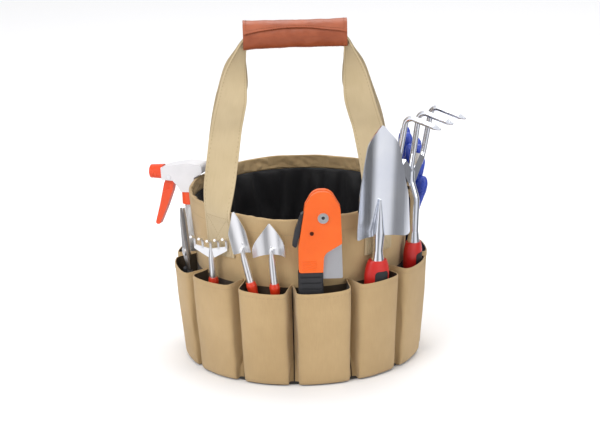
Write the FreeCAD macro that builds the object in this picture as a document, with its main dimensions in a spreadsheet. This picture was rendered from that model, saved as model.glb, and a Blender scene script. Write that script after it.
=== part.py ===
import FreeCAD, Part
import math
import os

import Sketcher
from FreeCAD import Placement, Rotation, Vector
from types import SimpleNamespace

# Round canvas garden tool bag with twelve pockets round its wall, two webbing handles joined by a
# leather grip, and the set of hand tools that stands in the pockets.
# Frame: origin at the middle of the base's underside, +Z up, front of the bag towards -Y. Millimetres.

SIZES = [
    # bag body
    ("base_radius", 149.0, "canvas wall's outer face at the base"),
    ("waist_radius", 142.0, "canvas wall pressed in behind the pockets"),
    ("rim_radius", 149.0, "canvas wall's outer face at the rim"),
    ("bag_height", 230.0, "height of the rim"),
    ("wall_thickness", 1.6, "canvas wall"),
    ("waist_low", 40.0, "height where the wall is first pressed in"),
    ("fit_gap", 0.3, "clearance between sewn layers"),
    ("lining_thickness", 0.6, "waterproof lining"),
    ("facing_depth", 24.0, "canvas turned in at the rim"),
    ("facing_thickness", 1.2, "turned-in canvas"),
    ("base_thickness", 1.6, "outer base cloth"),
    ("board_thickness", 3.0, "stiffening board in the base"),
    ("binding_radius", 2.0, "half thickness of the binding round the base"),
    # pockets
    ("pocket_count", 12.0, "pockets round the wall"),
    ("first_pocket", 10.0, "angle of the first pocket's middle, from the front"),
    ("pocket_height", 134.0, "height of the pockets' hems"),
    ("pocket_foot", 158.0, "pocket's outer face at its foot"),
    ("pocket_mouth", 172.0, "pocket's outer face at its hem"),
    ("pocket_cloth", 1.4, "pocket canvas"),
    ("pocket_corner", 12.0, "rounding of a pocket's upright edges"),
    ("seam_gap", 0.5, "angle left between two pockets"),
    # handles
    ("webbing_width", 50.0, "handle webbing"),
    ("webbing_thickness", 2.2, "handle webbing"),
    ("handle_angle", 44.5, "angle of a handle's foot from the bag's middle plane"),
    ("tab_bottom", 166.0, "lower end of the sewn webbing"),
    ("webbing_rise", 3.0, "webbing's upright run past the rim"),
    ("grip_height", 437.0, "height of the leather grip's middle"),
    ("grip_length", 138.0, "leather grip"),
    ("grip_tall", 17.0, "half height of the leather roll"),
    ("grip_deep", 12.5, "half depth of the leather roll"),
    ("leather", 2.2, "leather"),
    ("strip_gap", 1.8, "space under the grip's flap"),
    ("strip_thickness", 0.5, "hook or loop strip"),
    # how the tools stand
    ("lean_out", 3.1, "outward lean of a tool in its pocket"),
    # large trowel
    ("trowel_angle", 39.0, "place round the bag"),
    ("trowel_lean", 2.0, "sideways lean"),
    ("trowel_twist", -13.0, "turn about its own length"),
    ("trowel_tip", 344.0, "height of the point"),
    ("trowel_base", 193.0, "height of the blade's lower edge"),
    ("trowel_half", 39.5, "half width of the blade at its base"),
    ("trowel_bend", 60.0, "radius of the blade's cross section"),
    ("trowel_sheet", 2.2, "blade thickness"),
    ("trowel_neck", 7.0, "neck radius"),
    # cultivator
    ("fork_angle", 73.0, "place round the bag"),
    ("fork_twist", -15.5, "turn about its own length"),
    ("fork_half", 34.0, "outer tine from the middle one"),
    ("fork_top", 342.0, "height of the tines' bend"),
    ("fork_reach", 42.0, "tine length after the bend"),
    ("fork_bar", 3.8, "tine radius"),
    ("fork_back", 9.0, "set-back of the yoke"),
    # the two large grips
    ("grip_top", 161.0, "upper end of a large grip"),
    ("grip_foot", 46.0, "lower end of a large grip"),
    ("grip_half", 17.0, "half width of a large grip"),
    ("grip_half_deep", 10.6, "half depth of a large grip"),
    ("tang_radius", 4.5, "tang inside a large grip"),
    # folding saw
    ("saw_angle", 5.0, "place round the bag"),
    ("saw_twist", -4.0, "turn about its own length"),
    ("saw_bolt_x", 15.5, "pivot bolt across the handle"),
    ("saw_bolt_z", 234.0, "pivot bolt's height"),
    ("saw_bolt_radius", 4.0, "pivot bolt's shank"),
    ("saw_scale", 6.5, "thickness of one handle scale"),
    ("saw_slot", 2.6, "slot between the scales"),
    ("saw_blade_thickness", 1.8, "saw blade"),
    ("saw_tang", 19.0, "radius of the blade's tang round the bolt"),
    ("saw_pin_radius", 1.6, "lock lever's pin"),
    ("saw_tooth", 2.4, "depth of a tooth"),
    ("saw_grip_foot", 45.0, "lower end of the rubber grip"),
    # small tools
    ("small_grip_radius", 7.2, "small tools' handles"),
    ("small_grip_foot", 23.0, "lower end of the small handles"),
    ("small_stem", 4.6, "small tools' stems"),
    ("small_sheet", 1.4, "small blades' thickness"),
    ("small_bend", 24.0, "radius of a small blade's cross section"),
    ("wide_angle", -13.0, "wide small trowel, place round the bag"),
    ("wide_lean", -3.0, "wide small trowel, sideways lean"),
    ("wide_half", 21.5, "wide small trowel, half width"),
    ("wide_tip", 224.0, "wide small trowel, height of the point"),
    ("narrow_angle", -24.6, "narrow small trowel, place round the bag"),
    ("narrow_lean", -12.5, "narrow small trowel, sideways lean"),
    ("narrow_half", 13.0, "narrow small trowel, half width"),
    ("narrow_tip", 240.0, "narrow small trowel, height of the point"),
    ("small_base", 181.0, "height of the small blades' lower edges"),
    ("small_grip_top", 141.0, "upper end of the small handles"),
    ("rake_angle", -48.0, "small rake, place round the bag"),
    ("rake_twist", 24.0, "small rake, turn about its own length"),
    ("rake_half", 23.0, "small rake, half width"),
    ("rake_bar", 177.0, "small rake, height of its bar"),
    ("rake_tine", 1.7, "small rake, tine radius"),
    ("rake_grip_top", 137.0, "small rake, upper end of its handle"),
    # snips
    ("snips_angle", -78.0, "snips, place round the bag"),
    ("snips_twist", 10.0, "snips, turn about their own length"),
    ("snips_pivot", 151.0, "snips, height of the pivot"),
    ("snips_tip", 218.0, "snips, height of the points"),
    ("snips_plate", 2.6, "snips, blade thickness"),
    ("snips_screw", 4.0, "snips, pivot radius"),
    ("snips_foot", 25.0, "snips, lower end of the grips"),
    # sprayer
    ("spray_angle", -112.0, "sprayer, place round the bag"),
    ("bottle_half", 25.0, "bottle, half width"),
    ("bottle_half_deep", 9.3, "bottle, half depth"),
    ("bottle_foot", 49.0, "bottle, underside"),
    ("bottle_shoulder", 165.0, "bottle, shoulder"),
    ("bottle_wall", 1.2, "bottle wall"),
    ("collar_radius", 12.0, "screw collar"),
    ("collar_foot", 193.0, "screw collar, lower edge"),
    ("collar_top", 210.0, "screw collar, upper edge"),
    ("spray_half", 12.0, "spray head, half width"),
    ("nozzle_radius", 11.0, "nozzle"),
    ("nozzle_height", 236.0, "nozzle's axis"),
    ("nozzle_out", 57.0, "nozzle's face from the collar's axis"),
    ("nozzle_length", 19.0, "nozzle"),
    ("trigger_pin", 1.8, "trigger's pin radius"),
    # gloves
    ("glove_angle", 100.0, "gloves, place round the bag"),
    ("glove_foot", 42.0, "gloves, lower edge of the cuffs"),
]

# Sizes that follow from the ones above.
WORKED = [
    ("wall_low", "2 * binding_radius + fit_gap", "canvas wall's lower edge, and the pockets'"),
    ("waist_high", "pocket_height + 4", "height where the wall starts to spread again"),
    ("wall_slope", "(rim_radius - waist_radius) / (bag_height - waist_high)", "spread above the pockets"),
    ("foot_slope", "(base_radius - waist_radius) / (waist_low - wall_low)", "spread towards the base"),
    ("facing_low", "bag_height - facing_depth", "lower edge of the turned-in canvas"),
    ("facing_top", "bag_height + fit_gap", "underside of the fold at the rim"),
    ("facing_inset", "wall_thickness + fit_gap", "inner layers, from the wall's outer face"),
    ("facing_low_radius", "rim_radius - wall_slope * facing_depth - facing_inset", "facing, low edge"),
    ("facing_top_radius", "rim_radius - facing_inset", "turned-in canvas at the rim"),
    ("floor_low", "base_thickness + board_thickness + 2 * fit_gap", "lining's floor"),
    ("lining_low", "floor_low + lining_thickness + fit_gap", "lining's wall, lower edge"),
    ("lining_high", "facing_low - fit_gap", "lining's wall, upper edge"),
    ("lining_high_radius", "facing_low_radius - wall_slope * fit_gap", "lining's wall at its upper edge"),
    ("floor_radius", "base_radius - wall_thickness - 4", "lining's floor"),
    ("tab_radius", "rim_radius - wall_slope * (bag_height - tab_bottom) + fit_gap", "sewn webbing, low end"),
    ("pocket_rise", "(pocket_mouth - pocket_foot) / (pocket_height - 2 * binding_radius)", "pocket slope"),
    ("pocket_half", "180 / pocket_count - seam_gap / 2", "half of a pocket's angle"),
    ("hollow_half", "pocket_half - pocket_cloth / waist_radius * 180 / pi", "half angle inside a pocket"),
    ("mouth_middle", "(waist_radius + pocket_mouth - pocket_cloth) / 2", "middle of a pocket's mouth"),
    ("saw_face", "saw_slot / 2 + saw_scale", "outer face of a handle scale"),
    ("shroud_front", "nozzle_length - nozzle_out", "spray head's front face"),
    ("snips_face", "snips_plate + 0.05", "outer face of a snips blade"),
]

X_AXIS, Y_AXIS, Z_AXIS = Vector(1, 0, 0), Vector(0, 1, 0), Vector(0, 0, 1)

doc = FreeCAD.newDocument("garden_tool_bag")
sheet = doc.addObject("Spreadsheet::Sheet", "dims")
for row, (alias, value, note) in enumerate(SIZES + WORKED, start=1):
    sheet.set(f"A{row}", note)
    sheet.set(f"B{row}", f"={value}" if isinstance(value, str) else str(value))
    sheet.setAlias(f"B{row}", alias)
doc.recompute()
size = SimpleNamespace(**{alias: float(sheet.get(alias)) for alias, _, _ in SIZES + WORKED})

nodes = []


# ---------------------------------------------------------------- helpers


def keep(name, piece, place=None):
    """Registers a finished sub-part under its own label, at its place."""
    piece.Label = name
    if place is not None:
        piece.Placement = place
    nodes.append(piece)
    return piece


def primitive(kind, name, at=("0", "0", "0"), turn=None, **sizes):
    """A Part primitive whose sizes and place are expressions."""
    piece = doc.addObject(kind, name)
    if turn is not None:
        piece.Placement = Placement(Vector(), turn)
    for size, expression in sizes.items():
        piece.setExpression(size, expression)
    for letter, expression in zip("xyz", at):
        piece.setExpression(f"Placement.Base.{letter}", expression)
    return piece


def pin_through(name, base, radius, length):
    """A cylinder that runs from base towards the front, along -Y."""
    return primitive("Part::Cylinder", name, base, Rotation(X_AXIS, 90), Radius=radius, Height=length)


def pin_across(name, base, radius, length):
    """A cylinder that runs from base to the right, along +X."""
    return primitive("Part::Cylinder", name, base, Rotation(Y_AXIS, 90), Radius=radius, Height=length)


def cut(name, base, tool):
    piece = doc.addObject("Part::Cut", name)
    piece.Base, piece.Tool = base, tool
    return piece


def fuse(name, *pieces):
    piece = doc.addObject("Part::MultiFuse", name)
    piece.Shapes = list(pieces)
    return piece


def common(name, *pieces):
    piece = doc.addObject("Part::MultiCommon", name)
    piece.Shapes = list(pieces)
    return piece


def made(name, shape):
    """A piece whose shape comes straight from Part's functions."""
    piece = doc.addObject("Part::Feature", name)
    piece.Shape = shape
    return piece


def outline(body, plane, corners):
    """A closed outline whose corners are held by expressions, on one of the body's origin planes."""
    sketch = body.newObject("Sketcher::SketchObject", body.Name + "_outline")
    origin = next(f for f in body.Origin.OriginFeatures if f.Role == plane)
    sketch.AttachmentSupport = (origin, [""])
    sketch.MapMode = "FlatFace"
    count = len(corners)
    turns = [2 * math.pi * i / count for i in range(count)]
    places = [Vector(math.cos(turn), math.sin(turn), 0) for turn in turns]
    for i in range(count):
        sketch.addGeometry(Part.LineSegment(places[i], places[(i + 1) % count]))
    for i in range(count):
        sketch.addConstraint(Sketcher.Constraint("Coincident", i, 2, (i + 1) % count, 1))
    for i, (across, up) in enumerate(corners):
        for kind, expression, value in (("DistanceX", across, places[i].x), ("DistanceY", up, places[i].y)):
            held = sketch.addConstraint(Sketcher.Constraint(kind, -1, 1, i, 1, value))
            sketch.setExpression(f"Constraints[{held}]", expression)
    return sketch


def turned(name, corners):
    """A body of revolution about Z from an outline in radius and height."""
    body = doc.addObject("PartDesign::Body", name)
    sketch = outline(body, "XZ_Plane", corners)
    turn = body.newObject("PartDesign::Revolution", name + "_turn")
    turn.Profile = sketch
    turn.ReferenceAxis = (sketch, ["V_Axis"])
    turn.Angle = 360
    return body


def plate(name, corners, thickness, rounds=(), plane="XZ_Plane"):
    """A plate with its outline in the plane, padded both ways; rounds are (radius, corner numbers)."""
    body = doc.addObject("PartDesign::Body", name)
    sketch = outline(body, plane, corners)
    tip = body.newObject("PartDesign::Pad", name + "_pad")
    tip.Profile = sketch
    tip.setExpression("Length", thickness)
    tip.Midplane = True
    doc.recompute()
    places = [sketch.Geometry[i].StartPoint for i in range(len(corners))]
    for order, (radius, chosen) in enumerate(rounds):
        spots = [(places[i].x, places[i].y) for i in chosen]
        numbered = enumerate(tip.Shape.Edges, start=1)
        edges = [f"Edge{n}" for n, edge in numbered if at_corner(edge, spots, plane)]
        rounding = body.newObject("PartDesign::Fillet", f"{name}_round_{order}")
        rounding.Base = (tip, edges)
        rounding.setExpression("Radius", radius)
        tip = rounding
        doc.recompute()
    return body


def at_corner(edge, spots, plane):
    """Whether an edge is a straight one that stands on one of these corners of the outline."""
    ends = [v.Point for v in edge.Vertexes]
    if len(ends) != 2 or type(edge.Curve).__name__ != "Line":
        return False
    flat = [(p.x, p.z) if plane == "XZ_Plane" else (p.y, p.z) for p in ends]
    return any(all(math.dist(f, spot) < 0.01 for f in flat) for spot in spots)


def bent_path(points, radii):
    """Straight runs joined by tangent arcs: a wire through the points, rounded at each inner one."""
    edges, start = [], points[0]
    for before, corner, after, radius in zip(points, points[1:], points[2:], radii):
        back, on = (before - corner).normalize(), (after - corner).normalize()
        half = back.getAngle(on) / 2
        reach = radius / math.tan(half)
        middle = (back + on).normalize()
        first, last = corner + back * reach, corner + on * reach
        deepest = corner + middle * (radius / math.sin(half) - radius)
        edges += [Part.LineSegment(start, first).toShape(), Part.Arc(first, deepest, last).toShape()]
        start = last
    edges.append(Part.LineSegment(start, points[-1]).toShape())
    return Part.Wire(edges)


def rod(points, radii, radius):
    """A round bar along a bent path."""
    wire = bent_path(points, radii)
    ring = Part.Wire(Part.makeCircle(radius, points[0], points[1] - points[0]))
    return wire.makePipeShell([ring], True, True)


def oval(half_x, half_y, height, middle=(0.0, 0.0)):
    """A level oval ring; its seam always lies on the same side, so that lofts through rings don't twist."""
    places = []
    for step in range(16):
        angle = 2 * math.pi * step / 16
        x, y = half_x * math.cos(angle), half_y * math.sin(angle)
        places.append(Vector(middle[0] + x, middle[1] + y, height))
    curve = Part.BSplineCurve()
    curve.interpolate(places, PeriodicFlag=True)
    return Part.Wire(curve.toShape())


def lofted(stations):
    """A solid through oval stations, each (height, half width, half depth)."""
    return Part.makeLoft([oval(half_x, half_y, height) for height, half_x, half_y in stations], True)


def rivet(name, place, along, at, radius, half_length):
    """A pin with a flat head at each end, along x or y."""
    turn = Rotation(X_AXIS, 90) if along == "y" else Rotation(Y_AXIS, 90)
    pieces = []
    for part, start, width, length in (
        ("shank", half_length, radius, f"2 * ({half_length})"),
        ("near_head", f"-({half_length})", f"{radius} + 1", "0.8"),
        ("far_head", f"{half_length} + 0.8", f"{radius} + 1", "0.8"),
    ):
        spot = (at[0], start, at[1]) if along == "y" else (f"-({start})", at[0], at[1])
        pieces.append(primitive("Part::Cylinder", f"{name}_{part}", spot, turn, Radius=width, Height=length))
    keep(name, fuse(name, *pieces), place)


def in_pocket(angle, lean=0.0, twist=0.0):
    """Place of a tool's own frame: z along the tool, -y away from the bag, leaning about the pocket's hem."""
    return (
        Placement(Vector(), Rotation(Z_AXIS, angle))
        * Placement(Vector(0, -size.mouth_middle, size.pocket_height), Rotation(Y_AXIS, lean))
        * Placement(Vector(), Rotation(X_AXIS, size.lean_out))
        * Placement(Vector(), Rotation(Z_AXIS, twist))
        * Placement(Vector(0, 0, -size.pocket_height), Rotation())
    )


# ---------------------------------------------------------------- bag body


def layer(inset, thickness, low, high, high_radius):
    """Outline of a layer that follows the canvas wall, inset from its outer face."""
    outer = [
        (f"dims.base_radius - dims.foot_slope * ({low} - dims.wall_low) - {inset}", low),
        (f"dims.waist_radius - {inset}", "dims.waist_low"),
        (f"dims.waist_radius - {inset}", "dims.waist_high"),
        (high_radius, high),
    ]
    return outer + [(f"{radius} - {thickness}", height) for radius, height in reversed(outer)]


def bag_body():
    wall = layer("0", "dims.wall_thickness", "dims.wall_low", "dims.bag_height", "dims.rim_radius")
    keep("canvas_wall", turned("canvas_wall", wall))
    facing = [
        ("dims.facing_low_radius", "dims.facing_low"),
        ("dims.facing_top_radius", "dims.facing_top"),
        ("dims.rim_radius", "dims.facing_top"),
        ("dims.rim_radius", "dims.facing_top + dims.facing_thickness"),
        ("dims.facing_top_radius - dims.facing_thickness", "dims.facing_top + dims.facing_thickness"),
        ("dims.facing_low_radius - dims.facing_thickness", "dims.facing_low"),
    ]
    keep("rim_facing", turned("rim_facing", facing))
    lining = layer(
        "dims.facing_inset",
        "dims.lining_thickness",
        "dims.lining_low",
        "dims.lining_high",
        "dims.lining_high_radius",
    )
    keep("lining_wall", turned("lining_wall", lining))
    disc("lining_floor", "dims.floor_radius", "dims.floor_low", "dims.lining_thickness")
    disc("base_board", "dims.floor_radius - 4", "dims.base_thickness + dims.fit_gap", "dims.board_thickness")
    cloth_radius = "dims.base_radius + 1 - dims.binding_radius - dims.fit_gap"
    disc("base_cloth", cloth_radius, "0", "dims.base_thickness")
    binding = primitive(
        "Part::Torus",
        "base_binding",
        ("0", "0", "dims.binding_radius"),
        Radius1="dims.base_radius + 1",
        Radius2="dims.binding_radius",
    )
    keep("base_binding", binding)


def disc(name, radius, low, thickness):
    keep(name, primitive("Part::Cylinder", name, ("0", "0", low), Radius=radius, Height=thickness))


# ---------------------------------------------------------------- pockets


def wedge(name, half, low, high, inset, corner):
    """A pocket's block between two seams, with its two outer upright edges rounded."""
    block = primitive(
        "Part::Cone",
        name,
        ("0", "0", low),
        Rotation(Z_AXIS, -90 - getattr(size, half)),
        Radius1=f"dims.pocket_foot - {inset} + dims.pocket_rise * ({low} - dims.wall_low)",
        Radius2=f"dims.pocket_mouth - {inset} + dims.pocket_rise * ({high} - dims.pocket_height)",
        Height=f"{high} - {low}",
        Angle=f"2 * dims.{half}",
    )
    doc.recompute()
    rounded = doc.addObject("Part::Fillet", name + "_rounded")
    rounded.Base = block
    rounded.Edges = [
        (n, corner, corner)
        for n, edge in enumerate(block.Shape.Edges, start=1)
        if type(edge.Curve).__name__ == "Line"
        and edge.BoundBox.ZLength > size.pocket_height / 2
        and math.hypot(edge.CenterOfMass.x, edge.CenterOfMass.y) > size.waist_radius
    ]
    return rounded


def pockets():
    corner = size.pocket_corner
    block = wedge("pocket_block", "pocket_half", "dims.wall_low", "dims.pocket_height", "0", corner)
    over = "(dims.pocket_height + 20)"
    low = "(dims.wall_low + dims.pocket_cloth)"
    inner_corner = corner - size.pocket_cloth
    hollow = wedge("pocket_hollow", "hollow_half", low, over, "dims.pocket_cloth", inner_corner)
    behind = turned(
        "space_behind_pockets",
        [
            ("0", "0"),
            ("dims.base_radius + dims.fit_gap", "0"),
            ("dims.base_radius + dims.fit_gap", "dims.wall_low"),
            ("dims.waist_radius + dims.fit_gap", "dims.waist_low"),
            ("dims.waist_radius + dims.fit_gap", "dims.waist_high"),
            ("0", "dims.waist_high"),
        ],
    )
    shell = cut("pocket_shell", cut("pocket_open", block, hollow), behind)
    doc.recompute()
    for n in range(round(size.pocket_count)):
        angle = size.first_pocket + 360 / size.pocket_count * n
        name = f"pocket_{n + 1:02d}"
        keep(name, made(name, shell.Shape), Placement(Vector(), Rotation(Z_AXIS, angle)))


# ---------------------------------------------------------------- handles and grip


def strap_section(middle, across, through, half_width, half_thickness):
    corners = [(-1, -1), (1, -1), (1, 1), (-1, 1), (-1, -1)]
    wide, thick = across * half_width, through * half_thickness
    return Part.makePolygon([middle + wide * a + thick * b for a, b in corners])


def sewn_foot(angle):
    """The end of a handle sewn to the wall below the rim: webbing that follows the wall's slope and curve."""
    low, width, thickness = size.tab_bottom, size.webbing_width, size.webbing_thickness
    rim = size.bag_height + size.webbing_rise
    low_radius, rim_radius = size.tab_radius, size.rim_radius + size.fit_gap
    outside = Part.makeCone(low_radius + thickness, rim_radius + thickness, rim - low, Vector(0, 0, low))
    inside = Part.makeCone(low_radius, rim_radius, rim - low, Vector(0, 0, low))
    window = Part.makeBox(width, 60, rim - low, Vector(-width / 2, -rim_radius - 20, low))
    foot = outside.cut(inside).common(window)
    foot.rotate(Vector(), Z_AXIS, angle)
    return foot


def handle(name, side):
    """One webbing handle: two sewn feet, two rising legs that narrow, and the folded run inside the grip."""
    half_width, half_thickness = size.webbing_width / 2, size.webbing_thickness / 2
    rim, top = size.bag_height, size.grip_height
    spread = size.handle_angle
    reach = size.grip_length / 2
    fold = 2.4
    fold_middle = side * (fold + 0.4)
    rim_radius = size.rim_radius + size.fit_gap + half_thickness
    legs = []
    for hand in (-1, 1):
        angle = hand * spread if side < 0 else 180 - hand * spread
        legs.append(sewn_foot(angle))
        out = Vector(math.sin(math.radians(angle)), -math.cos(math.radians(angle)), 0)
        tangent = Vector(abs(out.y), -out.x * out.y / abs(out.y), 0)
        slant = 0.25 * side * hand
        stations = [
            (out * rim_radius + Z_AXIS * (rim + size.webbing_rise - 0.5), tangent, half_width),
            (Vector(hand * (reach + 25), side * 62, rim + 88), Vector(1, slant, 0), half_width * 0.88),
            (Vector(hand * (reach + 16), side * 42, top - 76), X_AXIS, half_width * 0.8),
            (Vector(hand * (reach + 12), side * 25, top - 42), Vector(1, 0, 0.2 * hand), half_width * 0.62),
            (Vector(hand * (reach + 7), side * 8, top - 19), Vector(0.8, 0, 0.6 * hand), half_width * 0.36),
            (Vector(hand * (reach - 3), fold_middle, top - 4), Vector(0.3, 0, hand), half_width * 0.22),
        ]
        sections = []
        for middle, across, half in stations:
            across = across.normalize()
            through = (Y_AXIS - across * across.y).normalize()
            sections.append(strap_section(middle, across, through, half, half_thickness))
        legs.append(Part.makeLoft(sections, True, True))
    folded = Part.makeBox(2 * reach - 4, fold * 2, 14, Vector(2 - reach, fold_middle - fold, top - 11))
    leather = sleeve(-size.leather - size.fit_gap, size.leather + size.fit_gap, reach)
    keep(name, made(name, folded.fuse(legs).cut(leather)))


def roll(half_tall, half_deep, half_length):
    """A bar of oval section along X at the grip's height."""
    curve = Part.Ellipse(Vector(), half_tall, half_deep)
    face = Part.Face(Part.Wire(curve.toShape()))
    face.rotate(Vector(), Z_AXIS, 90)
    face.rotate(Vector(), Y_AXIS, 90)
    face.rotate(Vector(), X_AXIS, 90)
    face.translate(Vector(-half_length, 0, size.grip_height))
    return face.extrude(Vector(2 * half_length, 0, 0))


def sleeve(offset, thickness, half_length):
    """A hollow oval sleeve that lies an offset outside the leather roll's outer face."""
    tall, deep = size.grip_tall + offset, size.grip_deep + offset
    inside = roll(tall, deep, half_length + 1)
    return roll(tall + thickness, deep + thickness, half_length).cut(inside)


def sector(start, end, half_length):
    """The wedge of space round the grip's axis between two angles, from the front (-Y) upwards."""
    far = size.grip_tall * 4
    steps = 4
    centre = Vector(-half_length - 1, 0, size.grip_height)
    rim = []
    for step in range(steps + 1):
        angle = math.radians(start + (end - start) * step / steps)
        rim.append(centre + Vector(0, -far * math.cos(angle), far * math.sin(angle)))
    face = Part.Face(Part.makePolygon([centre] + rim + [centre]))
    return face.extrude(Vector(2 * half_length + 2, 0, 0))


def grip():
    """Leather roll closed round both handles by a flap on hook-and-loop strips."""
    half = size.grip_length / 2
    leather, gap, strip = size.leather, size.strip_gap, size.strip_thickness
    root = sleeve(0, gap - 0.1, half).common(sector(120, 127.5, half))
    keep("grip_roll", made("grip_roll", sleeve(-leather, leather, half).fuse(root).removeSplitter()))
    keep("grip_flap", made("grip_flap", sleeve(gap, leather, half).common(sector(18, 128, half))))
    keep("loop_strip", made("loop_strip", sleeve(0.2, strip, half - 12).common(sector(24, 62, half))))
    under_flap = sleeve(gap - strip - 0.2, strip, half - 12)
    keep("hook_strip", made("hook_strip", under_flap.common(sector(24, 62, half))))


# ---------------------------------------------------------------- large grips, trowel and cultivator


def large_grip(prefix, place):
    """A red oval grip round a tang, with a black pad let into its face."""
    top, foot = size.grip_top, size.grip_foot
    wide, deep = size.grip_half, size.grip_half_deep
    stations = [
        (foot, wide * 0.62, deep * 0.62),
        (foot + 5, wide * 0.86, deep * 0.8),
        (foot + 22, wide * 0.95, deep * 0.86),
        (foot + 48, wide * 0.9, deep * 0.92),
        (foot + 78, wide, deep),
        (top - 12, wide * 0.98, deep),
        (top, wide * 0.74, deep * 0.86),
    ]
    body = lofted(stations)
    bore = Part.makeCylinder(size.tang_radius + 0.05, top - foot, Vector(0, 0, foot + 18))
    body = body.cut(bore)
    for name, inset in (("grip", 0.0), ("pad", 0.2)):
        low = Vector(inset - wide * 0.45, -2 * deep, foot + 12 + inset)
        window = Part.makeBox(wide * 1.2 - 2 * inset, deep + 3.2, top - foot - 26 - 2 * inset, low)
        through = [e for e in window.Edges if abs(e.tangentAt(e.FirstParameter).y) > 0.9]
        window = window.makeFillet(5.0, through)
        shape = body.common(window) if inset else body.cut(window)
        keep(f"{prefix}_{name}", made(f"{prefix}_{name}", shape), place)


def dished_blade(name, corners, rounds, bend, sheet_name, back):
    """A blade pressed from sheet: an outline cut from a trough that is hollow on its outer side."""
    face = plate(name + "_outline", corners, "120", rounds)
    low, high = "dims.small_base - 60", "400"
    axis, hollow = ("0", f"{back} - {bend}", low), f"{bend} - {sheet_name}"
    outer = primitive("Part::Cylinder", name + "_outer", axis, Radius=bend, Height=high)
    inner = primitive("Part::Cylinder", name + "_inner", axis, Radius=hollow, Height=high)
    corner = ("-100", f"{back} - {bend}", low)
    behind = primitive("Part::Box", name + "_front", corner, Length="200", Width="200", Height=high)
    return common(name, face, cut(name + "_trough", outer, inner), behind)


def trowel():
    place = in_pocket(size.trowel_angle, size.trowel_lean, size.trowel_twist)
    corners = [
        ("-dims.trowel_half", "dims.trowel_base"),
        ("dims.trowel_half", "dims.trowel_base"),
        ("dims.trowel_half - 3.5", "dims.trowel_tip - 95"),
        ("dims.trowel_half - 17", "dims.trowel_tip - 25"),
        ("0", "dims.trowel_tip"),
        ("17 - dims.trowel_half", "dims.trowel_tip - 25"),
        ("3.5 - dims.trowel_half", "dims.trowel_tip - 95"),
    ]
    rounds = [("120", (2, 6)), ("26", (3, 5)), ("7", (0, 1)), ("4", (4,))]
    blade = dished_blade("trowel_blade", corners, rounds, "dims.trowel_bend", "dims.trowel_sheet", "4")
    neck = turned(
        "trowel_neck",
        [
            ("0", "dims.grip_foot + 20"),
            ("dims.tang_radius", "dims.grip_foot + 20"),
            ("dims.tang_radius", "dims.grip_top"),
            ("dims.trowel_neck + 1.6", "dims.grip_top"),
            ("dims.trowel_neck - 0.6", "dims.grip_top + 13"),
            ("dims.trowel_neck + 1.2", "dims.trowel_base + 5"),
            ("1.4", "dims.trowel_base + 50"),
            ("0", "dims.trowel_base + 50"),
        ],
    )
    keep("trowel_head", fuse("trowel_head", blade, neck), place)
    large_grip("trowel", place)


def cultivator():
    place = in_pocket(size.fork_angle, twist=size.fork_twist)
    top, back, half = size.fork_top, size.fork_back, size.fork_half
    bar, reach = size.fork_bar, size.fork_reach
    grip_top, foot = size.grip_top, size.grip_foot
    yoke = top - 98
    tang = Part.makeCylinder(size.tang_radius, grip_top - foot - 10, Vector(0, 0, foot + 20))
    collar = Part.makeCone(8.4, 6.4, 14, Vector(0, 0, grip_top))
    bow = [(0, grip_top + 8), (0, yoke - 24), (back, yoke), (back, yoke + 14)]
    bow = [Vector(0, y, z) for y, z in bow]
    neck = rod(bow, [24, 24], 6.2)
    wing, notch = half * 0.92, half * 0.55
    web = [(-6, -6), (6, -6), (wing, 26), (notch, 34), (0, 14), (-notch, 34), (-wing, 26), (-6, -6)]
    web = Part.makePolygon([Vector(x, back, yoke + z) for x, z in web])
    web = Part.Face(web).extrude(Vector(0, 2 * bar, 0))
    web.translate(Vector(0, -bar, 0))
    pieces = [collar, neck, web]
    for side in (-1, 0, 1):
        path = [
            Vector(side * half * 0.75, back, yoke + 18),
            Vector(side * half, back, yoke + 34),
            Vector(side * half, back - 10, top),
            Vector(side * half, back - 10 - reach, top - 8),
        ]
        if side == 0:
            path = [Vector(0, back, yoke + 10)] + path[2:]
        tine = rod(path, [14, 11] if side else [11], bar)
        direction = (path[-1] - path[-2]).normalize()
        pieces += [tine, Part.makeCone(bar, bar * 0.35, 9, path[-1], direction)]
    keep("cultivator_head", made("cultivator_head", tang.fuse(pieces).removeSplitter()), place)
    large_grip("cultivator", place)


# ---------------------------------------------------------------- folding saw


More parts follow.
